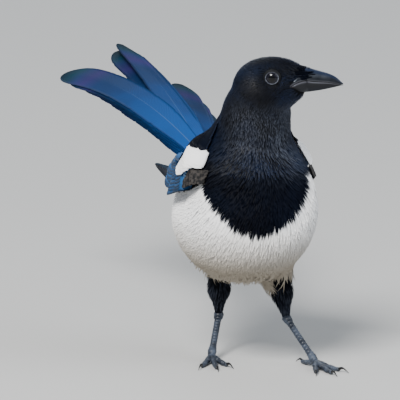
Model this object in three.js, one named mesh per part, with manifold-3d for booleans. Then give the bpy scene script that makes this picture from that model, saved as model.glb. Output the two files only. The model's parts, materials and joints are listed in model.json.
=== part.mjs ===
// A life-size Eurasian magpie in mid step, its head turned to its left, its tail cocked and part fanned.
// Millimetres, +Z up. The bird faces -Y, its left side is +X, and the floor is z = 0.
import * as THREE from "three";
import { mergeVertices } from "three/addons/utils/BufferGeometryUtils.js";
import Module from "manifold-3d";

const wasm = await Module();
wasm.setup();

const { cos, sin, sqrt, hypot, max, min, abs, PI } = Math;
const rad = THREE.MathUtils.degToRad;
const mix = THREE.MathUtils.lerp;
const ease = THREE.MathUtils.smoothstep;
const clamp = THREE.MathUtils.clamp;
const vec = (x, y, z) => new THREE.Vector3(x, y, z);

// Driving dimensions
const GAP = 0.35; // between nodes that meet
const BLEND = 14; // how softly the forms of the body flow together
const HEAD_TURN = rad(60); // from straight ahead, towards the left
const HEAD_CENTRE = vec(0, -42, 211);
const EYE_RADIUS = 5.8;
const TAIL_ROOT = vec(0, 62, 128);
const TAIL_LENGTH = 235;
const VANE_THICKNESS = 0.6;
const HEEL = { left: vec(28.5, -10.5, 31), right: vec(-7.5, 32.5, 28) };
const FOOT = { left: vec(39, -41, 4.6), right: vec(-24, 3, 4.6) };
const KNEE = { left: vec(21, -12, 74), right: vec(-13, 14, 72) };

// Forms of the body: each is a function of a point, negative inside and near a distance outside
function ellipsoid(centre, radii, turn = 0, pitch = 0) {
  const back = new THREE.Quaternion().setFromEuler(new THREE.Euler(pitch, 0, turn, "ZXY")).invert();
  return (point) => {
    const q = point.clone().sub(centre).applyQuaternion(back);
    const k0 = hypot(q.x / radii.x, q.y / radii.y, q.z / radii.z);
    const k1 = hypot(q.x / radii.x ** 2, q.y / radii.y ** 2, q.z / radii.z ** 2);
    return k1 < 1e-9 ? -min(radii.x, radii.y, radii.z) : (k0 * (k0 - 1)) / k1;
  };
}

function cone(from, fromRadius, to, toRadius) {
  const along = to.clone().sub(from);
  return (point) => {
    const t = clamp(point.clone().sub(from).dot(along) / along.lengthSq(), 0, 1);
    return point.distanceTo(from.clone().addScaledVector(along, t)) - mix(fromRadius, toRadius, t);
  };
}

function blended(forms, softness) {
  return (point) =>
    forms
      .map((form) => form(point))
      .reduce((a, b) => min(a, b) - max(softness - abs(a - b), 0) ** 2 / (4 * softness));
}

const hollowed = (form, hollow, softness) => (point) => {
  const [a, b] = [form(point), -hollow(point)];
  return max(a, b) + max(softness - abs(a - b), 0) ** 2 / (4 * softness);
};

// The head's own frame: ahead along the bill, out to the head's left, and up
const headAhead = vec(sin(HEAD_TURN), -cos(HEAD_TURN), 0);
const headLeft = vec(cos(HEAD_TURN), sin(HEAD_TURN), 0);
const onHead = (ahead, left, up) =>
  HEAD_CENTRE.clone().addScaledVector(headAhead, ahead).addScaledVector(headLeft, left).add(vec(0, 0, up));

const trunkForms = [
  ellipsoid(vec(0, 2, 105), vec(49, 68, 47), 0, rad(-7)),
  ellipsoid(vec(0, -22, 124), vec(43, 38, 42)),
  cone(vec(0, 28, 120), 34, vec(0, 63, 126), 15),
];
const neckForms = [
  cone(vec(0, -10, 146), 37, vec(0, -24, 184), 22),
  cone(vec(0, -24, 184), 22, onHead(-3, 0, -7), 19),
];
const headForms = [
  ellipsoid(onHead(3, 0, -1), vec(15.5, 20.5, 16.5), HEAD_TURN),
  ellipsoid(onHead(16, 0, 1.5), vec(10, 17, 12.5), HEAD_TURN),
];
const wingBed = (point) =>
  ellipsoid(vec(63, 26, 134), vec(22, 78, 25))(vec(abs(point.x), point.y, point.z));
const body = hollowed(blended([...trunkForms, ...neckForms, ...headForms], BLEND), wingBed, 8);
const trunkOnly = hollowed(blended([...trunkForms, neckForms[0]], BLEND), wingBed, 8);

// How far a ray goes from a point inside a form to the surface at a given level
function reach(form, start, direction, level = 0) {
  const STEP = 1.5;
  const MOST = 150;
  let outside = STEP;
  const at = (distance) => form(start.clone().addScaledVector(direction, distance)) - level;
  while (outside < MOST && at(outside) < 0) outside += STEP;
  let inside = outside - STEP;
  for (let i = 0; i < 16; i++) {
    const middle = (inside + outside) / 2;
    if (at(middle) < 0) inside = middle;
    else outside = middle;
  }
  return inside;
}

// A closed geometry as a solid whose faces point outwards
function solid(geometry) {
  const bare = geometry.clone();
  for (const name of ["normal", "uv"]) bare.deleteAttribute(name);
  const merged = mergeVertices(bare, 1e-4);
  const corners = Array.from(merged.index.array);
  const faces = [];
  for (let i = 0; i < corners.length; i += 3) {
    const [a, b, c] = corners.slice(i, i + 3);
    if (a !== b && b !== c && c !== a) faces.push(a, b, c);
  }
  const vertProperties = merged.attributes.position.array;
  const make = (order) =>
    new wasm.Manifold(new wasm.Mesh({ numProp: 3, vertProperties, triVerts: new Uint32Array(order) }));
  const made = make(faces);
  return made.volume() > 0 ? made : make(faces.reverse());
}

const joined = (solids) => wasm.Manifold.union(solids);

// The largest closed surface of a solid, without the slivers that a union leaves
function largest(whole) {
  return whole
    .simplify(0.05)
    .decompose()
    .sort((a, b) => b.volume() - a.volume())[0];
}

// A sphere drawn out from a centre to a form's surface
function grown(form, centre, segments, rings, level = 0) {
  const ball = new THREE.SphereGeometry(1, segments, rings);
  const places = ball.attributes.position;
  for (let i = 0; i < places.count; i++) {
    const direction = vec().fromBufferAttribute(places, i).normalize();
    const point = centre.clone().addScaledVector(direction, reach(form, centre, direction, level));
    places.setXYZ(i, point.x, point.y, point.z);
  }
  return solid(ball);
}

// A round body drawn along a curve: radius(t) gives its half width and half height
function drawn(curve, radius, sides, steps, from = 0, to = 1, up = vec(0, 0, 1)) {
  const tube = new THREE.CylinderGeometry(1, 1, 1, sides, steps);
  const places = tube.attributes.position;
  for (let i = 0; i < places.count; i++) {
    const share = clamp(places.getY(i) + 0.5, 0, 1);
    const t = mix(from, to, share);
    const tangent = curve.getTangent(t);
    const side = vec().crossVectors(tangent, up).normalize();
    const rise = vec().crossVectors(side, tangent);
    const [wide, tall] = [radius(t)].flat().concat(radius(t)).slice(0, 2);
    const point = curve
      .getPoint(t)
      .addScaledVector(side, places.getX(i) * wide)
      .addScaledVector(rise, places.getZ(i) * tall);
    places.setXYZ(i, point.x, point.y, point.z);
  }
  return solid(tube);
}

const curveThrough = (...points) => new THREE.CatmullRomCurve3(points);
const ball = (centre, radius, segments = 14, rings = 9) =>
  solid(new THREE.SphereGeometry(radius, segments, rings).translate(centre.x, centre.y, centre.z));

// A feather's outline: its share of the full half width, from root to tip
function featherOutline(t, rootShare, roundFrom) {
  const rounding = max(t - roundFrom, 0) / (1.02 - roundFrom);
  return mix(rootShare, 1, ease(t, 0, 0.4)) * sqrt(max(1 - rounding ** 2, 0.003));
}

// A thin vane: place(t, side, lift) gives the point at a share t of its length, side from -1 to 1 across it
function vane(stations, place, thickness = VANE_THICKNESS) {
  const across = [-1, 0, 1];
  const points = [];
  for (const lift of [thickness / 2, -thickness / 2])
    for (const t of stations) for (const side of across) points.push(place(t, side, lift));
  const under = stations.length * across.length;
  const faces = [];
  const quad = (a, b, c, d) => faces.push(a, b, c, a, c, d);
  const at = (i, j) => i * across.length + j;
  const lastStation = stations.length - 1;
  for (let i = 0; i < lastStation; i++) {
    for (let j = 0; j < 2; j++) {
      const [a, b, c, d] = [at(i, j), at(i + 1, j), at(i + 1, j + 1), at(i, j + 1)];
      faces.push(a, b, c, a, c, d);
      faces.push(under + a, under + c, under + b, under + a, under + d, under + c);
    }
    quad(at(i, 0), under + at(i, 0), under + at(i + 1, 0), at(i + 1, 0));
    quad(at(i + 1, 2), under + at(i + 1, 2), under + at(i, 2), at(i, 2));
  }
  for (let j = 0; j < 2; j++) {
    const [tipA, tipB] = [at(lastStation, j), at(lastStation, j + 1)];
    quad(at(0, j + 1), under + at(0, j + 1), under + at(0, j), at(0, j));
    quad(tipA, under + tipA, under + tipB, tipB);
  }
  const coordinates = points.flatMap((point) => point.toArray());
  const geometry = new THREE.BufferGeometry();
  geometry.setAttribute("position", new THREE.Float32BufferAttribute(coordinates, 3));
  geometry.setIndex(faces);
  return solid(geometry);
}

// Trunk, neck and head, parted by thin cuts square to the neck
const trunkCentre = vec(0, -2, 112);
const neckCentre = vec(0, -24, 172);
const neckBase = { point: vec(0, -16, 160), up: vec(0, -0.34, 0.94).normalize() };
const neckTop = { point: vec(0, -32, 190), up: vec(0, -0.3, 0.95).normalize() };
const above = (shape, { point, up }, gap) => shape.trimByPlane(up.toArray(), up.dot(point) + gap / 2);
const below = (shape, { point, up }, gap) =>
  shape.trimByPlane(up.clone().negate().toArray(), -up.dot(point) + gap / 2);

function torsoSolid() {
  return below(grown(body, trunkCentre, 32, 22), neckBase, GAP).subtract(tailCoverts(1.7 * GAP));
}
const torsoWithRoom = grown(body, trunkCentre, 32, 22, GAP);
const neckWithRoom = grown(body, neckCentre, 26, 18, GAP);

function neckSolid() {
  const whole = grown(body, neckCentre, 26, 18);
  return below(above(whole, neckBase, GAP), neckTop, GAP);
}

// Head, with sockets for the eyes, lids round them, the line of the mouth, and bristles over the nostrils
const onFace = (ahead, side, up, height = 0) => {
  const start = onHead(ahead, 0, up);
  const out = headLeft.clone().multiplyScalar(side);
  return start.addScaledVector(out, reach(body, start, out) + height);
};
const eyeCentre = (side) => onFace(7.6, side, 5.8, -3.3);

function lid(side) {
  const LID_RADIUS = 4.9;
  const LID_THICKNESS = 0.75;
  const out = headLeft.clone().multiplyScalar(side).addScaledVector(headAhead, 0.1).normalize();
  const ring = new THREE.TorusGeometry(LID_RADIUS, LID_THICKNESS, 5, 14);
  ring.applyQuaternion(new THREE.Quaternion().setFromUnitVectors(vec(0, 0, 1), out));
  const centre = eyeCentre(side).addScaledVector(out, 3.4);
  return solid(ring.translate(centre.x, centre.y, centre.z));
}

// A tapered lock of nasal bristles that lies forward along the bill
function bristle(side, row) {
  const up = 9 - row * 3.6;
  const root = onFace(19, side, up, -1.2);
  const bend = onFace(26, side, up, 0.5);
  const tip = onHead(34.5 - row * 1.6, side * 7.2, up - 1.8);
  return drawn(curveThrough(root, bend, tip), (t) => [2.6 - 2.1 * t, 1.2 - 0.8 * t], 5, 3);
}

function mouthCorner(side) {
  const path = curveThrough(onFace(29, side, 2.6), onFace(23, side, 0.6), onFace(18.5, side, -2));
  return drawn(path, (t) => mix(0.9, 0.4, t), 5, 3);
}

function headSolid() {
  const sides = [-1, 1];
  const whole = above(grown(body, HEAD_CENTRE, 24, 17), neckTop, GAP);
  const tufts = sides.flatMap((side) => [0, 1].map((row) => bristle(side, row)));
  const sockets = sides.map((side) => ball(eyeCentre(side), EYE_RADIUS + GAP));
  return joined([whole, ...sides.map(lid), ...tufts]).subtract(
    joined([...sockets, ...sides.map(mouthCorner), upperBill(BILL_ROOM), lowerBill(BILL_ROOM)]),
  );
}

// Bill: each row is a distance ahead of the head's centre, the heights of ridge, mouth and keel, and half
// the width
const BILL_ROOM = 1.1; // the head's feathers stand this far off the horn
const BILL = [
  [20, 9, -1.2, -7, 7.4],
  [25, 10.8, 1.6, -6.9, 7.2],
  [30, 11.4, 2.8, -6.5, 6.7],
  [35, 10.1, 2.2, -5.7, 5.9],
  [40, 8.9, 1.8, -4.8, 4.9],
  [46, 7.3, 1.5, -3.4, 3.7],
  [51, 5, 0.5, -2.1, 2.4],
  [54.5, 2.1, -0.2, -1.1, 1.2],
  [56.3, 0.5, -0.4, -0.8, 0.5],
];

function billHalf(upward, rows, room) {
  const tube = new THREE.CylinderGeometry(1, 1, 1, 14, rows.length - 1);
  const places = tube.attributes.position;
  for (let i = 0; i < places.count; i++) {
    const row = rows[Math.round((places.getY(i) + 0.5) * (rows.length - 1))];
    const [ahead, ridge, mouth, keel, halfWidth] = row;
    const rise = max(upward * places.getZ(i), 0);
    const height = abs((upward > 0 ? ridge : keel) - mouth) - GAP / 2 + 2 * room;
    const seam = mouth + upward * (GAP / 2 - room);
    const wide = places.getX(i) * (halfWidth + room) * (1 - 0.15 * rise);
    const endRoom = row === rows.at(-1) ? room : row === rows[0] ? -room : 0;
    places.setXYZ(i, ...onHead(ahead + endRoom, wide, seam + upward * rise * height));
  }
  return solid(tube);
}
const upperBill = (room = 0) => billHalf(1, BILL, room);
const lowerBill = (room = 0) => billHalf(-1, BILL.slice(0, -1), room);

// Tail: each row is a feather's layer below the top one, turn from straight back, rise, share of the full
// length, roll at its root and at its tip, and how much its group arches. The two longest lie on top, one
// leaning to each side, and the rest stack below them.
const RECTRICES = [
  [0, -9.4, 8.6, 0.98, 16, 27, 18],
  [1, 2.2, 13.9, 0.98, 8, -26, 9.5],
  [2, 0.9, 13.3, 0.96, 8, 14, 9],
  [1, -9.9, 8.3, 0.9, 16, 27, 18],
  [2, -10.2, 8.2, 0.8, 16, 27, 18],
  [3, -10.4, 8.1, 0.7, 16, 27, 18],
  [4, -10.6, 8, 0.62, 16, 27, 18],
  [5, -10.8, 7.9, 0.55, 16, 27, 18],
  [2.6, 12.6, 7.9, 0.81, -6, -24, 9.5],
  [3.5, 14.4, 6.7, 0.71, -8, -24, 9.5],
  [4.4, 16, 5.8, 0.62, -10, -24, 9.5],
  [5, 17, 6.2, 0.55, -12, -22, 9.5],
];
const LAYER = 0.9; // between one tail feather and the next below

function rectrix([layer, turn, rise, share, rootRoll, tipRoll, arch]) {
  const HALF_WIDTH = 12;
  const ROOT = 24; // how far behind the rump it leaves the coverts
  const length = TAIL_LENGTH * share;
  const along = vec(sin(rad(turn)) * cos(rad(rise)), cos(rad(turn)) * cos(rad(rise)), sin(rad(rise)));
  const outward = vec(cos(rad(turn)), -sin(rad(turn)), 0);
  const over = vec().crossVectors(outward, along);
  const place = (t, across, lift) => {
    const distance = length * t;
    const roll = rad(mix(rootRoll, tipRoll, distance / TAIL_LENGTH));
    const half = HALF_WIDTH * featherOutline(t, 0.4, 0.86) * (0.88 + 0.12 * share);
    const bow = (4 * arch * distance * (TAIL_LENGTH - distance)) / TAIL_LENGTH ** 2;
    const side = outward.clone().multiplyScalar(cos(roll)).addScaledVector(over, sin(roll));
    const up = over.clone().multiplyScalar(cos(roll)).addScaledVector(outward, -sin(roll));
    return TAIL_ROOT.clone()
      .addScaledVector(along, distance)
      .addScaledVector(side, across * half)
      .addScaledVector(up, lift - 0.07 * abs(across) * half)
      .add(vec(0, 0, bow - layer * LAYER));
  };
  return vane([ROOT / length, 0.34, 0.52, 0.7, 0.86, 0.95, 1], place);
}

// The short feathers that close over the roots of the tail, above and below
function tailCoverts(room = 0) {
  const path = curveThrough(
    TAIL_ROOT.clone().add(vec(0, -7 - room, -5)),
    TAIL_ROOT.clone().add(vec(-1, 20, -1)),
    TAIL_ROOT.clone().add(vec(-2, 54, 7)),
  );
  return drawn(path, (t) => [mix(15.5, 12, t) + room, mix(15, 4, t ** 0.8) + room], 16, 5);
}

const tailSolid = () => joined([tailCoverts(), ...RECTRICES.map(rectrix)]);

// Folded wings, set out on a chart round the body: y along it, and an angle up from the side
const WING = {
  line: (y) => vec(0, y, 106 + 0.045 * y),
  halfSpread: (y) => mix(39, 22.5, ease(y, 5, 140)),
  clearance: 1.1,
};
const chartDirection = (side, angle) => vec(side * cos(angle), 0, sin(angle));

function onWing(side, y, angle, height) {
  const direction = chartDirection(side, angle);
  const flesh = reach(trunkOnly, WING.line(y), direction) + WING.clearance;
  const stiff = WING.halfSpread(y);
  const surface = max(flesh, stiff) + max(4 - abs(flesh - stiff), 0) ** 2 / 16;
  return WING.line(y).addScaledVector(direction, surface + height);
}

// One wing feather between two places on the chart, tilted so that it laps over the next one down
function wingFeather(side, from, to, { halfWidth, height, tilt, fall = 0 }) {
  const CHART_RADIUS = 44;
  const ROOT_HEIGHT = 1.5;
  const run = vec(to[0] - from[0], rad(to[1] - from[1]) * CHART_RADIUS, 0).normalize();
  return vane([0, 0.22, 0.5, 0.76, 0.92, 1], (t, across, thick) => {
    const half = halfWidth * featherOutline(t, 0.5, 0.8);
    const y = mix(from[0], to[0], t) - run.y * across * half;
    const angle = rad(mix(from[1], to[1], t)) + (run.x * across * half) / CHART_RADIUS;
    const raised = mix(min(height, ROOT_HEIGHT), height, ease(t, 0, 0.4)) - tilt * across * half - fall * t;
    const settled = mix(1, 0.4, ease(angle, rad(45), rad(78))); // the stack thins out towards the spine
    return onWing(side, y, angle, raised * settled + thick);
  });
}

function tier(side, count, root, tip, look) {
  return Array.from({ length: count }, (_, i) => {
    const t = i / (count - 1);
    return wingFeather(side, root(t), tip(t), look(t));
  });
}

// The mass of the folded arm, under the roots of the feathers
function armPad(side) {
  const CENTRE = [3, 46];
  const HALF = [28, 18];
  const DEPTH = 5.4;
  const pad = new THREE.SphereGeometry(1, 14, 8);
  const places = pad.attributes.position;
  for (let i = 0; i < places.count; i++) {
    const y = CENTRE[0] + HALF[0] * places.getX(i);
    const angle = rad(CENTRE[1]) + (HALF[1] * places.getY(i)) / 44;
    const point = onWing(side, y, angle, DEPTH * max(places.getZ(i), 0) - 0.3);
    places.setXYZ(i, point.x, point.y, point.z);
  }
  return solid(pad);
}

// Tiers of the wing: roots and tips run from the lowest feather to the highest, in mm along and degrees up
function wingSolid(side) {
  const line = (a, b) => (t) => [mix(a[0], b[0], t), mix(a[1], b[1], t)];
  const primaries = tier(side, 3, line([-4, 27], [10, 33]), line([134, 26], [104, 28]), (t) => ({
    halfWidth: 8.5,
    height: mix(0.3, 2.3, t),
    tilt: 0,
  }));
  const secondaries = tier(side, 4, line([-10, 36], [18, 56]), line([76, 22], [88, 50]), () => ({
    halfWidth: 10,
    height: 5,
    tilt: 0.14,
    fall: 0.4,
  }));
  const tertials = tier(side, 2, line([15, 60], [20, 67]), line([84, 61], [66, 71]), (t) => ({
    halfWidth: 10,
    height: mix(7.1, 8, t),
    tilt: 0.04,
    fall: 0.8,
  }));
  const coverts = tier(side, 4, line([-16, 35], [8, 52]), line([23, 22], [46, 46]), () => ({
    halfWidth: 9,
    height: 7.7,
    tilt: 0.14,
    fall: 1.2,
  }));
  const scapulars = tier(side, 2, line([-17, 47], [-5, 59]), line([26, 46], [44, 61]), () => ({
    halfWidth: 12,
    height: 9.4,
    tilt: 0.08,
    fall: 1,
  }));
  return joined([armPad(side), ...primaries, ...secondaries, ...tertials, ...coverts, ...scapulars]).subtract(
    joined([torsoWithRoom, neckWithRoom]),
  );
}

// Legs: feathered thigh, scaled shank, four toes and their claws
function thighSolid(name) {
  const [knee, heel] = [KNEE[name], HEEL[name]];
  const middle = knee.clone().lerp(heel, 0.55).add(vec(0, 1.5, 0));
  const path = curveThrough(knee, middle, heel);
  const half = (t) => mix(mix(12.5, 7, ease(t, 0, 0.5)), 3, ease(t, 0.5, 1));
  const limb = drawn(path, (t) => [half(t), half(t) * mix(1.5, 1, t)], 12, 7, 0, 1, vec(0, 1, 0));
  return limb.subtract(joined([torsoWithRoom, shankSolid(name, GAP)]));
}

const SHANK = { knob: 3.4, half: 2.1, ankle: 2.9, end: 0.86 };
const shankPath = (name) => new THREE.LineCurve3(HEEL[name], FOOT[name]);
const shankRadius = (t) => mix(SHANK.half, SHANK.ankle, ease(t, 0.75, 1) + 1 - ease(t, 0, 0.22));
const shankHalf = (t, room = 0) => [shankRadius(t) * 0.9 + room, shankRadius(t) * 1.15 + room];

function shankSolid(name, room = 0) {
  const heel = ball(HEEL[name], SHANK.knob + room, 12, 8);
  return joined([heel, drawn(shankPath(name), (t) => shankHalf(t, room), 9, 4, 0, SHANK.end)]);
}

// Toes: [name, angle from the foot's heading, length]
const TOES = [
  ["inner", 27, 21],
  ["middle", 2, 27],
  ["outer", -24, 22],
  ["hind", 176, 17],
];
const HEADING = { left: rad(8), right: rad(-14) };
const TOE = { root: 2.3, end: 1.45, height: 1.5 };
const CLAW = { root: 1.3, length: 8.5, arch: 1.9 };

function toePlaces(name, angle) {
  const outward = name === "left" ? 1 : -1;
  const turn = HEADING[name] - outward * rad(angle);
  const forward = vec(sin(turn), -cos(turn), 0);
  const at = (distance, height) => vec(FOOT[name].x, FOOT[name].y, height).addScaledVector(forward, distance);
  return { at, forward };
}

function toe(name, angle, length) {
  const { at, forward } = toePlaces(name, angle);
  const path = curveThrough(
    at(0, FOOT[name].z),
    at(length * 0.35, 3.2),
    at(length * 0.7, TOE.height + 0.25),
    at(length + 1, TOE.height),
  );
  const pads = (t) => mix(TOE.root, TOE.end, t) + 0.18 * cos(t * 6 * PI);
  const back = forward.clone().negate();
  return drawn(path, pads, 7, 6).trimByPlane(back.toArray(), back.dot(at(length, 0)));
}

function clawSolid(name, angle, length) {
  const { at, forward } = toePlaces(name, angle);
  const out = (share) => length - 1 + (CLAW.length + 1) * share;
  const path = curveThrough(
    at(out(0), TOE.height - 0.2),
    at(out(0.5), TOE.height + CLAW.arch),
    at(out(1), 0.15),
  );
  return drawn(path, (t) => mix(CLAW.root, 0.3, t ** 1.2), 6, 5)
    .trimByPlane([0, 0, 1], 0)
    .trimByPlane(forward.toArray(), forward.dot(at(length + GAP, 0)));
}

function footSolid(name) {
  const stub = drawn(shankPath(name), shankHalf, 10, 2, SHANK.end + 0.012, 1);
  const toes = TOES.map(([, angle, length]) => toe(name, angle, length));
  return joined([stub, ball(FOOT[name], 3.1, 10, 7), ...toes]).trimByPlane([0, 0, 1], 0);
}

// Finishes
const finish = (color, roughness) => new THREE.MeshStandardMaterial({ color, roughness });
const FINISH = {
  black: finish(0x0b0c10, 0.55),
  white: finish(0xece9e2, 0.85),
  blue: finish(0x17437c, 0.4),
  tail: finish(0x1b4c8c, 0.38),
  horn: finish(0x17181c, 0.42),
  leg: finish(0x1b1f2a, 0.6),
  eye: finish(0x0d0a08, 0.08),
};

const magpie = new THREE.Group();
function add(name, shape, material) {
  const mesh = largest(shape).getMesh();
  const geometry = new THREE.BufferGeometry();
  geometry.setAttribute("position", new THREE.BufferAttribute(new Float32Array(mesh.vertProperties), 3));
  geometry.setIndex(new THREE.BufferAttribute(new Uint32Array(mesh.triVerts), 1));
  geometry.computeVertexNormals();
  const part = new THREE.Mesh(geometry, material);
  part.name = name;
  magpie.add(part);
}

add("torso", torsoSolid(), FINISH.white);
add("neck", neckSolid(), FINISH.black);
add("head", headSolid(), FINISH.black);
add("bill_upper", upperBill(), FINISH.horn);
add("bill_lower", lowerBill(), FINISH.horn);
add("tail", tailSolid(), FINISH.tail);
for (const name of ["left", "right"]) {
  const side = name === "left" ? 1 : -1;
  add(`eye_${name}`, ball(eyeCentre(side), EYE_RADIUS), FINISH.eye);
  add(`wing_${name}`, wingSolid(side), FINISH.blue);
  add(`thigh_${name}`, thighSolid(name), FINISH.black);
  add(`shank_${name}`, shankSolid(name), FINISH.leg);
  add(`foot_${name}`, footSolid(name), FINISH.leg);
  for (const [toeName, angle, length] of TOES)
    add(`claw_${toeName}_${name}`, clawSolid(name, angle, length), FINISH.horn);
}

// The part's origin is on the floor, under the middle of its box
const box = new THREE.Box3().setFromObject(magpie);
const middle = box.getCenter(vec());
magpie.position.set(-middle.x, -middle.y, 0);

export default magpie;
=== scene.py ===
# Looks of the life-size Eurasian magpie: skin, coat of feathers, wings, tail, bill, eyes and legs.
# Shapes are worked out in millimetres in the bird's own frame. It faces -Y, its left is +X, and the floor is
# at height 0.
import json
import math

import bpy
import numpy as np
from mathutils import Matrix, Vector

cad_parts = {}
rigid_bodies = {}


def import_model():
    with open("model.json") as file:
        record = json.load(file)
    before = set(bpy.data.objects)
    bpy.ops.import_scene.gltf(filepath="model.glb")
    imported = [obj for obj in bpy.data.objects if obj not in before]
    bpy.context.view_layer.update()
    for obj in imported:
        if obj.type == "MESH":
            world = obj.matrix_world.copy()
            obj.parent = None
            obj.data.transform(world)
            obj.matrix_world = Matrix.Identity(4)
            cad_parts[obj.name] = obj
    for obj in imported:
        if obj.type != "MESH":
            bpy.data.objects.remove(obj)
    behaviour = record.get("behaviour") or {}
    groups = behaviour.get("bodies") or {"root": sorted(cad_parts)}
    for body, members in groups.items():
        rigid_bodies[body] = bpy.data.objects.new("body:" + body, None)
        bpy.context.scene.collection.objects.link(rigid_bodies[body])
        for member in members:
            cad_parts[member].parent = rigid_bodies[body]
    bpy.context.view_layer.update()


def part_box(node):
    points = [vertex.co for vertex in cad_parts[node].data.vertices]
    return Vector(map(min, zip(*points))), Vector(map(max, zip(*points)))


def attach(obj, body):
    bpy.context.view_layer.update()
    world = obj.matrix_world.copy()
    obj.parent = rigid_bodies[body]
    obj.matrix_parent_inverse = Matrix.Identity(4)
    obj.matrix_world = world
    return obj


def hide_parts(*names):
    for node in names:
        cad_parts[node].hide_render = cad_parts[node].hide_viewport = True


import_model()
print("frame loaded")


# Plain helpers on numbers and arrays of points

def vec(*parts):
    return np.array(parts, float)


def mix(a, b, t):
    return a + (b - a) * t


def ease(x, low, high):
    t = np.clip((x - low) / (high - low), 0, 1)
    return t * t * (3 - 2 * t)


def unit(v):
    return v / np.maximum(np.linalg.norm(v, axis=-1, keepdims=True), 1e-9)


def dot(a, b):
    return (a * b).sum(-1, keepdims=True)


# Forms of the body: each gives a signed distance for an array of points, negative inside

def ellipsoid(centre, radii, turn=0, pitch=0):
    ct, st, cp, sp = math.cos(turn), math.sin(turn), math.cos(pitch), math.sin(pitch)
    axes = vec((ct, -st, 0), (st, ct, 0), (0, 0, 1)) @ vec((1, 0, 0), (0, cp, -sp), (0, sp, cp))
    centre, radii = vec(*centre), vec(*radii)

    def form(points):
        q = (points - centre) @ axes
        near = np.linalg.norm(q / radii, axis=1)
        slope = np.maximum(np.linalg.norm(q / radii**2, axis=1), 1e-9)
        return near * (near - 1) / slope

    return form


def cone(start, startRadius, end, endRadius):
    start, along = vec(*start), vec(*end) - vec(*start)

    def form(points):
        t = np.clip((points - start) @ along / (along @ along), 0, 1)
        return np.linalg.norm(points - start - t[:, None] * along, axis=1) - mix(startRadius, endRadius, t)

    return form


def fillet(a, b, softness):
    return np.maximum(softness - np.abs(a - b), 0) ** 2 / (4 * softness)


def blended(forms, softness):
    def form(points):
        result = forms[0](points)
        for other in forms[1:]:
            value = other(points)
            result = np.minimum(result, value) - fillet(result, value, softness)
        return result

    return form


def hollowed(whole, hollow, softness):
    def form(points):
        a, b = whole(points), -hollow(points)
        return np.maximum(a, b) + fillet(a, b, softness)

    return form


sides = {"left": 1, "right": -1}
stance = {
    "headTurn": math.radians(60),  # towards the bird's left
    "headCentre": vec(0, -42, 211),
    "tailRoot": vec(0, 62, 128),
    "tailLength": 235,
    "knee": {"left": vec(21, -12, 74), "right": vec(-13, 14, 72)},
    "heel": {"left": vec(28.5, -10.5, 31), "right": vec(-7.5, 32.5, 28)},
    "foot": {"left": vec(39, -41, 4.6), "right": vec(-24, 3, 4.6)},
    "toeHeading": {"left": math.radians(8), "right": math.radians(-14)},
}
headAhead = vec(math.sin(stance["headTurn"]), -math.cos(stance["headTurn"]), 0)
headLeft = vec(math.cos(stance["headTurn"]), math.sin(stance["headTurn"]), 0)


def onHead(ahead, left, up):
    return stance["headCentre"] + headAhead * ahead + headLeft * left + vec(0, 0, up)


trunkForms = [
    ellipsoid((0, 2, 105), (49, 68, 47), 0, math.radians(-7)),
    ellipsoid((0, -22, 124), (43, 38, 42)),
    cone((0, 28, 120), 34, (0, 63, 126), 15),
]
neckForms = [
    cone((0, -10, 146), 37, (0, -24, 184), 22),
    cone((0, -24, 184), 22, onHead(-3, 0, -7), 19),
]
headForms = [
    ellipsoid(onHead(3, 0, -1), (15.5, 20.5, 16.5), stance["headTurn"]),
    ellipsoid(onHead(16, 0, 1.5), (10, 17, 12.5), stance["headTurn"]),
]
wingBedForm = ellipsoid((63, 26, 134), (22, 78, 25))


def wingBed(points):
    return wingBedForm(np.column_stack([np.abs(points[:, 0]), points[:, 1], points[:, 2]]))


body = hollowed(blended(trunkForms + neckForms + headForms, 14), wingBed, 8)
trunkOnly = hollowed(blended(trunkForms + neckForms[:1], 14), wingBed, 8)


def thighForms(name):
    knee, heel = stance["knee"][name], stance["heel"][name]
    middle = mix(knee, heel, 0.55) + vec(0, 1.5, 0)
    return [cone(knee + vec(0, 0, 6), 13, middle, 7), cone(middle, 7, heel, 2.6)]


rump = ellipsoid((-1, 82, 127.5), (14.5, 36, 10), 0, math.radians(9))
feathered = blended([blended([body, rump], 10)] + thighForms("left") + thighForms("right"), 5)


def coatDepth(points):
    fromHead = np.linalg.norm(points - stance["headCentre"], axis=1)
    onLeg = 1 - ease(points[:, 2], 40, 66)
    return mix(1.2, 3.2, ease(fromHead, 22, 58)) * mix(1, 0.45, onLeg)


def skinForm(points):
    return feathered(points) + coatDepth(points)


def slopeOf(form, points, reach=0.05):
    slope = np.empty_like(points)
    for axis in range(3):
        nudge = np.zeros(3)
        nudge[axis] = reach
        slope[:, axis] = form(points + nudge) - form(points - nudge)
    return unit(slope)


def settled(form, points, rounds=3):
    for _ in range(rounds):
        step = np.clip(form(points), -4, 4)[:, None]
        points = points - step * slopeOf(form, points)
    return points


def reach(form, starts, directions, farthest=150, step=1.5):
    inside = np.zeros(len(starts))
    going = np.ones(len(starts), bool)
    for distance in np.arange(step, farthest, step):
        going &= form(starts + directions * distance) < 0
        inside[going] = distance
        if not going.any():
            break
    outside = inside + step
    for _ in range(16):
        middle = (inside + outside) / 2
        isInside = form(starts + directions * middle[:, None]) < 0
        inside, outside = np.where(isInside, middle, inside), np.where(isInside, outside, middle)
    return inside


def bodyReach(start, out, *limits):
    return reach(body, start[None], out[None], *limits)[0]


def onFace(ahead, side, up, height=0.0):
    start, out = onHead(ahead, 0, up), headLeft * side
    return start + out * (bodyReach(start, out) + height)


eyeAt = {name: onFace(7.6, side, 5.8, -3.3) for name, side in sides.items()}
eyeLow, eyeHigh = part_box("eye_left")
birdOrigin = np.array((eyeLow + eyeHigh) / 2) * 1000 - eyeAt["left"]  # the bird's frame in the part's


def linked(name, data):
    made = bpy.data.objects.new(name, data)
    bpy.context.scene.collection.objects.link(made)
    return made


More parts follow.
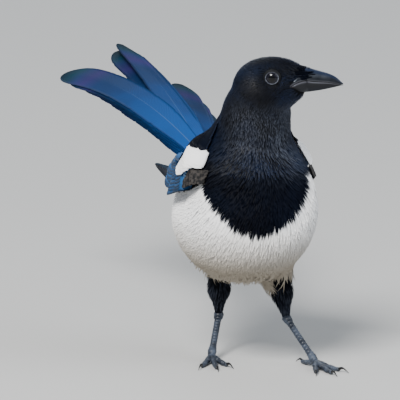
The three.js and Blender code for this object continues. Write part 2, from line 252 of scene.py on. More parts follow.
def onRoot(piece, slotName):
    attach(piece, "root")
    print(f"{piece.name}: {len(piece.data.vertices)} points, {len(piece.data.polygons)} faces")


# A heap gathers points, faces and attributes, and becomes one mesh piece that rides on the body

class Heap:
    def __init__(self):
        self.points, self.faces, self.marks, self.places, self.count = [], [], {}, [], 0

    def add(self, points, faces, **marks):
        self.points.append(points.reshape(-1, 3))
        self.faces.append(faces.reshape(-1, faces.shape[-1]) + self.count)
        for name, value in marks.items():
            self.marks.setdefault(name, []).append(np.broadcast_to(value, points.shape[:-1]).reshape(-1))
        self.count += points.size // 3

    def made(self, name, material, slotName=None, replaced=(), sharp=False):
        mesh = bpy.data.meshes.new(name)
        points = (np.concatenate(self.points) + birdOrigin) / 1000
        sizes = np.concatenate([np.full(len(f), f.shape[1]) for f in self.faces])
        corners = np.concatenate([f.ravel() for f in self.faces]).astype(np.int32)
        mesh.vertices.add(len(points))
        mesh.vertices.foreach_set("co", points.astype(np.float32).ravel())
        mesh.loops.add(len(corners))
        mesh.loops.foreach_set("vertex_index", corners)
        mesh.polygons.add(len(sizes))
        mesh.polygons.foreach_set("loop_start", (np.cumsum(sizes) - sizes).astype(np.int32))
        mesh.update(calc_edges=True)
        mesh.validate()
        marks = {mark: np.concatenate(parts).astype(np.float32) for mark, parts in self.marks.items()}
        for mark in [mark for mark in marks if mark not in ("mapU", "mapV")]:
            mesh.attributes.new(mark, "FLOAT", "POINT").data.foreach_set("value", marks[mark])
        if "mapU" in marks:
            both = np.column_stack([marks["mapU"], marks["mapV"]])
            mesh.uv_layers.new(name="OFBake").uv.foreach_set("vector", both[corners].ravel())
        mesh.polygons.foreach_set("use_smooth", np.ones(len(sizes), bool))
        if sharp:
            ends = np.empty(len(mesh.edges) * 2, np.int32)
            mesh.edges.foreach_get("vertices", ends)
            edge = marks["edge"][ends].reshape(-1, 2)
            mesh.edges.foreach_set("use_edge_sharp", (edge > 0.5).all(1))
        piece = linked(name, mesh)
        mesh.materials.append(material)
        onRoot(piece, slotName)
        if replaced:
            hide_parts(*replaced)


# Skin: a net of quads drawn round the forms, then settled on them

skinSizes = {"step": 2.2, "low": (-60, -82, 22), "high": (60, 126, 236), "evenings": 4}


def surfaceNet(form, low, high, step):
    axes = [np.arange(a, b + step, step) for a, b in zip(low, high)]
    grid = np.stack(np.meshgrid(*axes, indexing="ij"), -1)
    inside = form(grid.reshape(-1, 3)).reshape(grid.shape[:3]) < 0
    corners = [
        inside[a:a - 1 or None, b:b - 1 or None, c:c - 1 or None]
        for a in (0, 1) for b in (0, 1) for c in (0, 1)
    ]
    filled = sum(corner.astype(int) for corner in corners)
    mixed = (filled > 0) & (filled < 8)
    index = np.full(mixed.shape, -1)
    index[mixed] = np.arange(mixed.sum())
    points = grid[:-1, :-1, :-1][mixed] + step / 2
    faces = []
    for axis in range(3):
        first, second = [a for a in range(3) if a != axis]
        ahead = np.roll(inside, -1, axis)
        crossing = inside != ahead
        crossing[tuple(-1 if a == axis else slice(None) for a in range(3))] = False
        where = np.argwhere(crossing)
        where = where[(where[:, first] > 0) & (where[:, second] > 0)]
        around = []
        for shift in ((0, 0), (1, 0), (1, 1), (0, 1)):
            cell = where.copy()
            cell[:, first] -= shift[0]
            cell[:, second] -= shift[1]
            around.append(index[tuple(cell.T)])
        quads = np.column_stack(around)
        outward = inside[tuple(where.T)] ^ (axis == 1)
        quads[~outward] = quads[~outward][:, ::-1]
        faces.append(quads)
    return points, np.concatenate(faces)


def evened(points, faces, form, rounds):
    for _ in range(rounds):
        total = np.zeros_like(points)
        count = np.zeros(len(points))
        for a, b in ((0, 1), (1, 2), (2, 3), (3, 0)):
            for one, other in ((a, b), (b, a)):
                np.add.at(total, faces[:, one], points[faces[:, other]])
                np.add.at(count, faces[:, one], 1)
        points = settled(form, mix(points, total / count[:, None], 0.6), 2)
    return points


skinPoints, skinFaces = surfaceNet(skinForm, skinSizes["low"], skinSizes["high"], skinSizes["step"])
skinPoints = evened(settled(skinForm, skinPoints), skinFaces, skinForm, skinSizes["evenings"])
print(f"skin settled, {len(skinFaces)} faces")


# The lie of the coat: back from the bill, down the neck, and along the trunk to the tail

lieLines = [
    (onHead(30, 0, 4), onHead(-6, 0, 2), 1.0),
    (onHead(-6, 0, 2), vec(0, -30, 182), 1.0),
    (vec(0, -30, 182), vec(0, -24, 135), 1.0),
    (vec(0, -24, 135), vec(0, 12, 108), 1.0),
    (vec(0, 12, 108), vec(0, 75, 126), 1.0),
    (vec(0, 75, 126), vec(-2, 120, 136), 1.0),
    (stance["knee"]["left"] + vec(0, 0, -8), stance["heel"]["left"], 0.5),
    (stance["knee"]["right"] + vec(0, 0, -8), stance["heel"]["right"], 0.5),
]


def lieOf(points, normals):
    flow = np.zeros_like(points)
    for start, end, width in lieLines:
        along = end - start
        t = np.clip((points - start) @ along / (along @ along), 0, 1)
        away = np.linalg.norm(points - start - t[:, None] * along, axis=1) / width
        flow += unit(along)[None] / (away[:, None] ** 2 + 9) ** 2
    flow = unit(flow)
    return unit(flow - normals * dot(flow, normals))


def mapPlace(points):  # an unwrap of the skin: angle round the body against the way along it
    along = np.zeros(len(points))
    best = np.full(len(points), 1e9)
    turn = np.zeros(len(points))
    before = 0.0
    for start, end, _ in lieLines[:6]:
        line = end - start
        length = np.linalg.norm(line)
        t = np.clip((points - start) @ line / length**2, 0, 1)
        away = points - start - t[:, None] * line
        distance = np.linalg.norm(away, axis=1)
        near = distance < best
        side = vec(1, 0, 0)
        rise = np.cross(line / length, side)
        best[near] = distance[near]
        along[near] = before + t[near] * length
        turn[near] = np.arctan2(away[near] @ side, away[near] @ rise)
        before += length
    return np.column_stack([0.5 + turn / math.tau * 0.96, 0.02 + 0.96 * along / before])


def scattered(points, faces, spacing, allowed, seed):
    random = np.random.default_rng(seed)
    triangles = np.concatenate([faces[:, [0, 1, 2]], faces[:, [0, 2, 3]]])
    a, b, c = (points[triangles[:, i]] for i in range(3))
    centres = (a + b + c) / 3
    gap = spacing(centres)
    area = np.linalg.norm(np.cross(b - a, c - a), axis=1) / 2
    wanted = area * allowed(centres) * 3.2 / gap**2
    number = np.floor(wanted + random.random(len(wanted))).astype(int)
    pick = np.repeat(np.arange(len(triangles)), number)
    random.shuffle(pick)
    u, v = random.random((2, len(pick)))
    flip = u + v > 1
    u, v = np.where(flip, 1 - u, u), np.where(flip, 1 - v, v)
    places = a[pick] + (b - a)[pick] * u[:, None] + (c - a)[pick] * v[:, None]
    gaps = gap[pick]
    cell = float(gaps.max()) if len(gaps) else 1.0
    held, kept = {}, []
    keys = np.floor(places / cell).astype(int).tolist()
    listed = places.tolist()
    neighbours = [(i, j, k) for i in (-1, 0, 1) for j in (-1, 0, 1) for k in (-1, 0, 1)]
    for i, (x, y, z) in enumerate(listed):
        kx, ky, kz = keys[i]
        least = gaps[i] ** 2
        free = True
        for dx, dy, dz in neighbours:
            for ox, oy, oz in held.get((kx + dx, ky + dy, kz + dz), ()):
                if (ox - x) ** 2 + (oy - y) ** 2 + (oz - z) ** 2 < least:
                    free = False
                    break
            if not free:
                break
        if free:
            held.setdefault((kx, ky, kz), []).append((x, y, z))
            kept.append(i)
    return places[kept]


# Locks of the coat: thin, ridged and pointed, bent along the skin, with the root sunk in it

def addLocks(heap, roots, length, halfWidth, lift, random, ridge, spread, form=skinForm, lie=lieOf,
             swell=0.75, **marks):
    count, stations = len(roots), 5
    length = length * random.uniform(0.85, 1.15, count)
    yaw = np.radians(random.normal(0, spread, count))[:, None]
    lift = lift * random.uniform(0.88, 1.08, count)
    place = settled(form, roots, 2)
    rows = []
    for k in range(stations):
        t = k / (stations - 1)
        normal = slopeOf(form, place)
        ahead = lie(place, normal)
        ahead = ahead * np.cos(yaw) + np.cross(normal, ahead) * np.sin(yaw)
        side = np.cross(ahead, normal)
        half = halfWidth * mix(0.5, 1, ease(t, 0, 0.4)) * max(1 - t**2.6, 0) ** 0.8 + 0.03
        centre = place + normal * (lift * (0.15 + 0.85 * t**swell) - 0.4 * (1 - t))[:, None]
        rows.append(np.stack([
            centre - side * half[:, None],
            centre + normal * (ridge * half)[:, None],
            centre + side * half[:, None],
        ], 1))
        place = place + ahead * (length / (stations - 1))[:, None]
        place = settled(form, place, 1)
    points = np.stack(rows, 1)  # lock, station, corner
    ids = np.arange(count * stations * 3).reshape(count, stations, 3)
    sides = []
    for a, b in ((0, 1), (1, 2), (2, 0)):
        sides.append(np.stack([ids[:, :-1, a], ids[:, 1:, a], ids[:, 1:, b], ids[:, :-1, b]], -1))
    quads = np.stack(sides, 2)
    t = np.linspace(0, 1, stations)[None, :, None]
    tone = random.random(count)[:, None, None]
    unwrapped = mapPlace(roots)
    offset = 0.003
    full = {name: np.asarray(value).reshape(-1, 1, 1) for name, value in marks.items()}
    heap.add(points, quads, along=t, tone=tone, edge=vec(1, 0, 1),
             mapU=unwrapped[:, 0][:, None, None] + offset * vec(0, 0.5, 1),
             mapV=unwrapped[:, 1][:, None, None] + offset * t, **full)
    caps = np.concatenate([ids[:, 0][:, ::-1], ids[:, -1]])
    heap.faces.append(caps + heap.count - ids.size)


# Node graphs, for finishes and for growth: sums written on a socket's value add their nodes

class Value:
    def __init__(self, graph, socket):
        self.graph, self.socket = graph, socket

    def __add__(self, other):
        return self.graph.math("ADD", self, other)

    def __radd__(self, other):
        return self.graph.math("ADD", other, self)

    def __sub__(self, other):
        return self.graph.math("SUBTRACT", self, other)

    def __rsub__(self, other):
        return self.graph.math("SUBTRACT", other, self)

    def __mul__(self, other):
        return self.graph.math("MULTIPLY", self, other)

    def __rmul__(self, other):
        return self.graph.math("MULTIPLY", other, self)


class Graph:
    def __init__(self, tree):
        self.nodes, self.links = tree.nodes, tree.links

    def feed(self, socket, value):
        if isinstance(value, Value):
            self.links.new(value.socket, socket)
        elif isinstance(value, bpy.types.NodeSocket):
            self.links.new(value, socket)
        else:
            socket.default_value = value

    def node(self, kind, settings=None, sockets=None):
        made = self.nodes.new(kind)
        for name, value in (settings or {}).items():
            if name == "stops":
                ramp = made.color_ramp.elements
                while len(ramp) < len(value):
                    ramp.new(0.5)
                for stop, (place, colour) in zip(ramp, value):
                    stop.position = place
                    stop.color = (*colour, 1)
            else:
                setattr(made, name, value)
        for name, value in (sockets or {}).items():
            self.feed(made.inputs[name], value)
        return made

    def math(self, operation, *values):
        made = self.node("ShaderNodeMath", {"operation": operation}, dict(enumerate(values)))
        return Value(self, made.outputs[0])


class Finish(Graph):
    def __init__(self, name, **uniform):
        self.material = bpy.data.materials.new(name)
        self.material.use_nodes = True
        super().__init__(self.material.node_tree)
        self.shader = self.nodes["Principled BSDF"]
        for socket, value in uniform.items():
            self.shader.inputs[socket.replace("_", " ")].default_value = value

    def mark(self, name):
        return Value(self, self.node("ShaderNodeAttribute", {"attribute_name": name}).outputs["Fac"])

    def place(self):
        return self.node("ShaderNodeTexCoord").outputs["Object"]

    def axis(self, index):
        return Value(self, self.node("ShaderNodeSeparateXYZ", sockets={0: self.place()}).outputs[index])

    def noise(self, scale, detail=2.0, stretch=(1, 1, 1)):
        mapped = self.node("ShaderNodeMapping", sockets={"Vector": self.place(), "Scale": stretch})
        made = self.node("ShaderNodeTexNoise",
                         sockets={"Vector": mapped.outputs[0], "Scale": scale, "Detail": detail})
        return Value(self, made.outputs["Fac"])

    def between(self, value, low, high):
        made = self.node("ShaderNodeMapRange", {"interpolation_type": "SMOOTHSTEP"},
                         {"Value": value, "From Min": low, "From Max": high})
        return Value(self, made.outputs["Result"])

    def blend(self, share, first, second):
        made = self.node("ShaderNodeMix", {"data_type": "RGBA"}, {0: share})
        for index, colour in ((6, first), (7, second)):
            self.feed(made.inputs[index], (*colour, 1) if isinstance(colour, tuple) else colour)
        return made.outputs[2]

    def ramp(self, value, stops):
        return self.node("ShaderNodeValToRGB", {"stops": stops}, {0: value}).outputs["Color"]

    def bump(self, height, strength, distance=0.0005):
        made = self.node("ShaderNodeBump",
                         sockets={"Height": height, "Strength": strength, "Distance": distance})
        self.links.new(made.outputs[0], self.shader.inputs["Normal"])

    def colour(self, colour):
        self.feed(self.shader.inputs["Base Color"], (*colour, 1) if isinstance(colour, tuple) else colour)

    def rough(self, value):
        self.feed(self.shader.inputs["Roughness"], value)

    def metal(self, value):
        self.feed(self.shader.inputs["Metallic"], value)

    def coated(self, value):
        self.feed(self.shader.inputs["Coat Weight"], value)


def blackPlumage(name, gloss):
    f = Finish(name, Specular_IOR_Level=0.11 * gloss, Sheen_Weight=0.15 * gloss, Sheen_Roughness=0.3,
               Sheen_Tint=(0.24, 0.38, 0.9, 1))
    tone, along = f.mark("tone"), f.mark("along")
    # Painted sheen: noise patches of blue, stronger on glossier plumage, stand in for the blue gloss of the
    # black feathers.
    blueSheenPatches = f.between(f.noise(30, 3), 0.4, 0.75)
    deep = f.blend(tone, (0.0014, 0.0017, 0.0033), (0.0028, 0.0036, 0.0070))
    blue = f.blend(blueSheenPatches * (0.7 * gloss), deep, (0.0050, 0.0115, 0.0330))
    # Painted sheen: pale grey streaks towards the tips of the locks, on the throat and thighs.
    f.colour(f.blend(f.between(along, 0.3, 1) * tone * f.mark("grey") * 0.8, blue, (0.076, 0.088, 0.118)))
    f.rough(0.42 + 0.2 * tone)
    return f.material


def whitePlumage():
    f = Finish("white plumage", Specular_IOR_Level=0.15, Sheen_Weight=0.08, Sheen_Roughness=0.5)
    tone, along = f.mark("tone"), f.mark("along")
    # Painted shade: the belly turns darker and warmer towards its lowest part, as in shade with warm light
    # from below.
    low = f.between(f.axis(2), 0.116, 0.068)
    # Painted shade: each white lock is greyer towards its root, where it lies under its neighbours, with some
    # random tone.
    rootShadedWhite = f.blend(f.between(along, 0, 0.7) * 0.7 + tone * 0.3, (0.84, 0.85, 0.88), (0.965, 0.965, 0.97))
    f.colour(f.blend(low * 0.95, rootShadedWhite, (0.31, 0.265, 0.20)))
    f.rough(0.8 + 0.1 * tone)
    return f.material


def skinUnderCoat():
    f = Finish("skin under the coat", Specular_IOR_Level=0.1)
    f.colour(f.blend(f.mark("pale"), (0.003, 0.0035, 0.005), (0.74, 0.73, 0.71)))
    f.rough(0.9)
    return f.material


def barbsOf(f, along, across, closeness):  # fine slanting lines of the vane, a little uneven
    waver = f.noise(60, 2) * 5
    return f.math("SINE", (along * closeness - f.math("ABSOLUTE", across) * 9 + waver) * 6.28)


def wingBlue():
    f = Finish("blue wing feathers", Specular_IOR_Level=0.3)
    tone, along, across = f.mark("tone"), f.mark("along"), f.mark("across")
    barbs = barbsOf(f, along, across, 30)
    shine = f.between(f.noise(45, 2), 0.35, 0.65)
    base = f.blend(shine * 0.5 + tone * 0.5, (0.006, 0.035, 0.11), (0.022, 0.13, 0.38))
    lit = f.blend(f.between(barbs, -0.4, 1) * 0.35, base, (0.05, 0.22, 0.46))
    # Painted highlight along one edge of each vane and painted shade along the other, where it lies under the
    # next feather.
    edgeHighlighted = f.blend(f.between(across, 0.66, 0.98) * 0.85, lit, (0.30, 0.50, 0.70))
    dark = f.blend(f.between(across, -0.45, -0.95) * 0.85, edgeHighlighted, (0.003, 0.007, 0.016))
    f.colour(f.blend(f.mark("rachis"), dark, (0.004, 0.006, 0.012)))
    f.metal(0.3)
    f.rough(0.42 + 0.12 * tone)
    f.bump(barbs, 0.2, 0.0002)
    return f.material


def wingDark():
    f = Finish("dark wing feathers", Specular_IOR_Level=0.25)
    tone, along, across = f.mark("tone"), f.mark("along"), f.mark("across")
    base = f.blend(tone, (0.003, 0.0045, 0.009), (0.008, 0.011, 0.020))
    sheen = f.blend(f.between(across, 0.2, 0.9) * 0.5, base, (0.008, 0.035, 0.07))
    speckle = f.between(f.noise(420, 3), 0.42, 0.62)
    brown = f.blend(speckle * 0.8, (0.006, 0.006, 0.0068), (0.050, 0.044, 0.040))
    f.colour(f.blend(f.mark("brown"), sheen, brown))
    f.rough(0.5 + 0.1 * tone)
    f.bump(barbsOf(f, along, across, 24), 0.12, 0.0002)
    return f.material


def tailBlue():
    f = Finish("tail feathers", Specular_IOR_Level=0.05)
    tone, along, across = f.mark("tone"), f.mark("along"), f.mark("across")
    barbs = barbsOf(f, along, across, 105)
    sheen = f.between(f.noise(22, 3), 0.35, 0.65)
    shades = [  # place along the feather, deep colour, bright colour
        (0.1, (0.003, 0.026, 0.100), (0.009, 0.075, 0.29)),
        (0.45, (0.003, 0.016, 0.055), (0.009, 0.050, 0.18)),
        (0.72, (0.003, 0.010, 0.032), (0.010, 0.038, 0.13)),
        (0.80, (0.007, 0.008, 0.040), (0.034, 0.030, 0.14)),
        (0.86, (0.006, 0.010, 0.032), (0.018, 0.034, 0.12)),
        (0.92, (0.003, 0.014, 0.026), (0.006, 0.04, 0.07)),
        (1, (0.002, 0.006, 0.010), (0.004, 0.016, 0.028)),
    ]
    deep = f.ramp(along, [(place, low) for place, low, _ in shades])
    bright = f.ramp(along, [(place, high) for place, _, high in shades])
    share = sheen * 0.35 + tone * 0.3 + f.between(barbs, -1, 1) * 0.35
    vaned = f.blend(share, deep, bright)
    # Painted shade: both edges of each tail feather are darkened.
    edgeShaded = f.blend(f.between(f.math("ABSOLUTE", across), 0.82, 1) * 0.6, vaned, (0.004, 0.02, 0.06))
    f.colour(f.blend(f.mark("rachis"), edgeShaded, (0.06, 0.12, 0.24)))
    f.metal(0.08)
    f.rough(0.6 + 0.1 * sheen)
    f.bump(barbs, 0.18, 0.0002)
    return f.material


def billHorn():
    f = Finish("bill horn", Specular_IOR_Level=0.32, Specular_Tint=(0.7, 0.82, 1, 1), Coat_Roughness=0.16)
    streaks = f.between(f.noise(110, 4, (1, 1, 0.4)), 0.35, 0.7)
    rim = f.mark("rim")
    horn = f.blend(streaks * 0.5, (0.003, 0.0035, 0.005), (0.010, 0.010, 0.014))
    # Painted reflection: the bill is tinted blue away from the mouth line, as sky reflected in the horn.
    skyReflectionBlue = f.blend(f.between(rim, 0.4, 1) * 0.9, horn, (0.009, 0.016, 0.040))
    # Painted reflection: the lower mandible is warmed brown, as light reflected from the ground.
    groundReflection = f.blend(f.mark("under") * 0.7, skyReflectionBlue, (0.010, 0.008, 0.007))
    # Painted highlight: a pale line along the edges of the mouth.
    f.colour(f.blend(f.between(rim, 0.14, 0.03) * 0.5, groundReflection, (0.10, 0.10, 0.12)))
    f.rough(0.30 + 0.14 * streaks + 0.2 * f.mark("under"))
    f.coated(0.14 - 0.1 * f.mark("under"))
    f.bump(f.noise(420, 4), 0.15, 0.0002)
    return f.material


def clawHorn():
    f = Finish("claw horn", Specular_IOR_Level=0.5)
    f.colour((0.006, 0.006, 0.007))
    f.rough(0.3)
    return f.material


def legScales():
    f = Finish("leg scales", Specular_IOR_Level=0.45)
    # Painted reflection with wear: the black scales are coloured blue-grey as sky reflected on them, paler
    # and rougher in worn patches.
    wearAndSkyReflection = f.between(f.noise(150, 4), 0.35, 0.7)
    f.colour(f.blend(wearAndSkyReflection, (0.014, 0.019, 0.030), (0.055, 0.072, 0.105)))
    f.rough(0.42 + 0.15 * wearAndSkyReflection)
    f.bump(f.noise(900, 3), 0.25, 0.0003)
    return f.material


def eyeGloss():
    f = Finish("eye", Specular_IOR_Level=0.12, Coat_Roughness=0.03)
    f.colour(f.ramp(f.mark("away"), [(0, (0.0004, 0.0005, 0.001)), (0.52, (0.0004, 0.0005, 0.001)),
                                     (0.58, (0.005, 0.005, 0.010)), (0.85, (0.004, 0.004, 0.008)),
                                     (0.96, (0.002, 0.0015, 0.001))]))
    f.rough(0.15)
    f.coated(0.4)
    return f.material


def lidSkin():
    f = Finish("lid skin", Specular_IOR_Level=0.2)
    grain = f.between(f.noise(900, 2), 0.35, 0.65)
    pale = f.blend(grain, (0.035, 0.04, 0.055), (0.12, 0.13, 0.16))
    shaded = f.blend(f.mark("upper") * 0.75, pale, (0.010, 0.012, 0.020))
    f.colour(f.blend(f.between(f.mark("away"), 0.03, 0.2), shaded, (0.004, 0.0045, 0.006)))
    f.rough(0.6)
    return f.material


# Coat of the head, neck, trunk and thighs, coloured by where each lock's tip lies

coat = {
    "headSpacing": 0.8, "trunkSpacing": 1.08, "headLength": 4.2, "trunkLength": 11.5,
    "headWidth": 0.47, "trunkWidth": 0.72, "wingFront": (-29, 41), "wingSlant": 0.94, "seed": 7,
    "blackShape": {"broad": 1, "swell": 0.75}, "whiteShape": {"broad": 1.3, "swell": 0.4},
    "headReach": 26, "neckFrom": 150, "legTop": 62, "eyeGap": 5.9, "shareInView": 0.45,
}


def fromHead(points):
    return np.linalg.norm(points - onHead(4, 0, 0), axis=1)


def wingAxis(y):  # height of the line that the wings' chart is set out round
    return 106 + 0.045 * y


def aboveSide(points):  # angle in degrees up from the wings' axis, as on their chart
    return np.degrees(np.arctan2(points[:, 2] - wingAxis(points[:, 1]), np.abs(points[:, 0])))


def bibEdge(points):  # height of the black bib's lower edge at each point's side of the breast
    bearing = np.degrees(np.arctan2(points[:, 0] + 3, np.maximum(-points[:, 1] - 4, 0.01)))
    return 102.5 + 37.5 * (np.abs(bearing + 9) / 54) ** 1.6


def onThigh(points):
    return np.min([form(points) for name in sides for form in thighForms(name)], 0)


def isWhite(tips):
    x, y, z = tips.T
    ragged = 1.2 * np.sin(x * 1.9 + z) * np.sin(y * 1.3 + 2 * x)
    flankTop = mix(140, 128 - 0.28 * y, ease(y, -30, 0))
    top = np.minimum(bibEdge(tips), flankTop) + ragged
    vent = y > 50 - 0.2 * (z - 90) + ragged
    trousers = (z < 61 + ragged) & (onThigh(tips) < 2.5)
    return (z < top) & ~vent & ~trousers & (z > 40)


def wingFrontAt(angle):
    return coat["wingFront"][0] + (angle - coat["wingFront"][1]) * coat["wingSlant"]


def behindWingFront(points):  # how far behind the slanting front of the wing, and so hidden by it
    angle = aboveSide(points)
    front = wingFrontAt(angle)
    lowest = mix(38, 29, ease(points[:, 1], -28, 6))
    inBand = (angle > lowest) & (angle < 62) & (np.abs(points[:, 0]) > 8) & (points[:, 1] < 80)
    return np.where(inBand, points[:, 1] - front, -99)


def overBill(points):
    q = points - stance["headCentre"]
    ahead, left, up = q @ headAhead, q @ headLeft, q[:, 2]
    gape = (ahead > 20) & (up > mix(-1.5, -6.4, ease(ahead, 20, 28))) & (up < 3.4)
    return (ahead > 21) & (np.abs(left) < 7.4) & (up > -6.8) & (up < 10.6) | gape


def nearEye(points):
    return np.minimum(*[np.linalg.norm(points - place, axis=1) for place in eyeAt.values()])


def aroundEyes(points, normals):  # the lie parts round each eye
    flow = lieOf(points, normals)
    for centre in eyeAt.values():
        away = points - centre
        distance = np.linalg.norm(away, axis=1)
        flow = flow + unit(away) * (1.6 * np.exp(-((distance - 5) / 3.2) ** 2))[:, None]
    return unit(flow - normals * dot(flow, normals))


def coatSize(points, head, trunk):
    return mix(coat[head], coat[trunk], ease(fromHead(points), 16, 85))


def onCoat(points):
    bare = overBill(points) | (nearEye(points) <= coat["eyeGap"])
    return ((behindWingFront(points) < 0) & ~bare).astype(float)


def lockLength(roots):
    length = coatSize(roots, "headLength", "trunkLength") * mix(0.5, 1, ease(nearEye(roots), 6, 12))
    ahead = -behindWingFront(roots)
    return np.where(ahead < 90, np.minimum(length, np.maximum(ahead + 3.5, 3)), length)


def tipsOf(roots):
    place = roots
    for _ in range(3):
        place = place + aroundEyes(place, slopeOf(skinForm, place)) * (lockLength(roots) * 0.27)[:, None]
        place = settled(skinForm, place, 1)
    return place


random = np.random.default_rng(coat["seed"])
coatRoots = scattered(skinPoints, skinFaces, lambda p: coatSize(p, "headSpacing", "trunkSpacing"), onCoat, 11)
coatTips = tipsOf(coatRoots)
# White locks that would start among black ones are left out
buried = isWhite(coatTips) & ~isWhite(mix(coatRoots, coatTips, coat["shareInView"]))
coatRoots, coatTips = coatRoots[~buried], coatTips[~buried]
print(f"coat roots: {len(coatRoots)}")
glossy = blackPlumage("glossy black plumage", 1.3)
black = blackPlumage("black plumage", 0.25)
white = whitePlumage()
backBlack = blackPlumage("black plumage of the back", 0.6)


def coatPiece(name, roots, material, slotName, ridge, grey):
    heap = Heap()
    shape = coat["whiteShape" if material == white else "blackShape"]
    width = coatSize(roots, "headWidth", "trunkWidth") * shape["broad"]
    addLocks(heap, roots, lockLength(roots), width, coatDepth(roots) * 0.98, random, ridge=ridge, spread=4,
             lie=aroundEyes, swell=shape["swell"], grey=grey)
    heap.made(name, material, slotName, sharp=True)


whiteRoots = isWhite(coatTips)
isHead = (fromHead(coatRoots) < coat["headReach"]) & ~whiteRoots
isLeg = (coatRoots[:, 2] < coat["legTop"]) & ~whiteRoots
isFront = (coatRoots[:, 1] < 0) & ~isHead & ~isLeg & ~whiteRoots
isBack = ~isHead & ~isFront & ~isLeg & ~whiteRoots
isHigh = coatRoots[:, 2] > coat["neckFrom"]
throat = ease(coatRoots[:, 2], 138, 168) * ease(-coatRoots[:, 2], -205, -190) * ease(-coatRoots[:, 1], 20, 45)
# Painted sheen on the throat, stronger on the bird's left, and on the thighs: it streaks the locks' tips with
# pale grey.
pale = throat * mix(0.7, 1.6, ease(coatRoots[:, 0], -5, 18)) + 0.55 * (coatRoots[:, 2] < coat["legTop"])
pieces = [
    ("coat_head", isHead, glossy, "plumage_black", 0.25),
    ("coat_neck", isFront & isHigh, glossy, "plumage_black", 0.25),
    ("coat_breast", isFront & ~isHigh, black, "plumage_black", 0.25),
    ("coat_back", isBack, backBlack, "plumage_black", 0.25),
    ("coat_legs", isLeg, black, "plumage_black", 0.3),
    ("coat_belly_right", whiteRoots & (coatRoots[:, 0] < 0), white, "plumage_white", 0.04),
    ("coat_belly_left", whiteRoots & (coatRoots[:, 0] >= 0), white, "plumage_white", 0.04),
]
for name, chosen, material, slotName, ridge in pieces:
    coatPiece(name, coatRoots[chosen], material, slotName, ridge, pale[chosen])


# Wisps: longer loose strands along the belly's lower edge, and a tuft that hangs between the legs

wisps = {"spacing": 2.8, "length": 18, "half": 0.45, "lift": 5.5, "tuftCount": 150, "tuftHalf": 0.36,
         "tuftFrom": (12, -11, 64), "tuftTo": (17, -12, 51)}


def tuftLie(points, normals):
    down = unit(vec(*wisps["tuftTo"]) - vec(*wisps["tuftFrom"]))
    return unit(down - normals * (normals @ down)[:, None])


def nearBottom(points):
    return ((points[:, 2] < 76) & (points[:, 2] > 57) & (points[:, 1] < 44)).astype(float)


wispRoots = scattered(skinPoints, skinFaces, lambda p: np.full(len(p), wisps["spacing"]), nearBottom, 13)
wispRoots = wispRoots[isWhite(tipsOf(wispRoots))]
heap = Heap()
addLocks(heap, wispRoots, np.full(len(wispRoots), wisps["length"]), np.full(len(wispRoots), wisps["half"]),
         np.full(len(wispRoots), wisps["lift"]), random, ridge=0.2, spread=14, grey=0.0)
turn = random.uniform(0, math.tau, wisps["tuftCount"])
around = np.column_stack([5 * np.cos(turn), 4 * np.sin(turn), random.uniform(-5, 0, len(turn))])
tuft = cone(wisps["tuftFrom"], 5, wisps["tuftTo"], 2.4)
addLocks(heap, vec(*wisps["tuftFrom"]) + around, random.uniform(6, 15, len(turn)),
         np.full(len(turn), wisps["tuftHalf"]), random.uniform(0.4, 2.6, len(turn)), random,
         ridge=0.2, spread=24, form=tuft, lie=tuftLie, grey=0.0)
heap.made("coat_wisps", white, "plumage_white", sharp=True)

skinHeap = Heap()
skinHeap.add(skinPoints, skinFaces, pale=isWhite(skinPoints).astype(float))
skinHeap.made("skin", skinUnderCoat(), replaced=("torso", "neck", "head", "thigh_left", "thigh_right"))


# Folded wings, set out on a chart: a place along the body, an angle up from the side, a height over the flesh

wing = {"spreadFront": 39, "spreadBack": 22.5, "clearance": 1.1, "chartRadius": 44, "softness": 4,
        "rootHeight": 1.5}
chartY, chartAngle = np.arange(-44, 156, 2.0), np.radians(np.arange(-12, 109, 3.0))


def wingLine(y):
    return np.stack([0 * y, y, wingAxis(y)], -1)


def chartTable():
    y, angle = (grid.ravel() for grid in np.meshgrid(chartY, chartAngle, indexing="ij"))
    direction = np.column_stack([np.cos(angle), 0 * angle, np.sin(angle)])
    flesh = reach(trunkOnly, wingLine(y), direction) + wing["clearance"]
    stiff = mix(wing["spreadFront"], wing["spreadBack"], ease(y, 5, 140))
    surface = np.maximum(flesh, stiff) + fillet(flesh, stiff, wing["softness"])
    return surface.reshape(len(chartY), len(chartAngle))


wingTable = chartTable()


def onWing(side, y, angle, height):
    row = np.clip((y - chartY[0]) / (chartY[1] - chartY[0]), 0, len(chartY) - 1.001)
    column = np.clip((angle - chartAngle[0]) / (chartAngle[1] - chartAngle[0]), 0, len(chartAngle) - 1.001)
    i, j = row.astype(int), column.astype(int)
    u, v = row - i, column - j
    lower = mix(wingTable[i, j], wingTable[i + 1, j], u)
    upper = mix(wingTable[i, j + 1], wingTable[i + 1, j + 1], u)
    radius = mix(lower, upper, v) + height
    return wingLine(y) + np.stack([side * radius * np.cos(angle), 0 * y, radius * np.sin(angle)], -1)


def featherOutline(t, rootShare, roundFrom):
    tip = np.sqrt(np.maximum(1 - (np.maximum(t - roundFrom, 0) / (1.004 - roundFrom)) ** 2, 0.0004))
    return mix(rootShare, 1, ease(t, 0, 0.4)) * tip


def gridQuads(ids):
    return np.stack([ids[:-1, :-1], ids[1:, :-1], ids[1:, 1:], ids[:-1, 1:]], -1).reshape(-1, 4)


mapCells = 16  # the vanes' unwrap is a square of this many cells each way


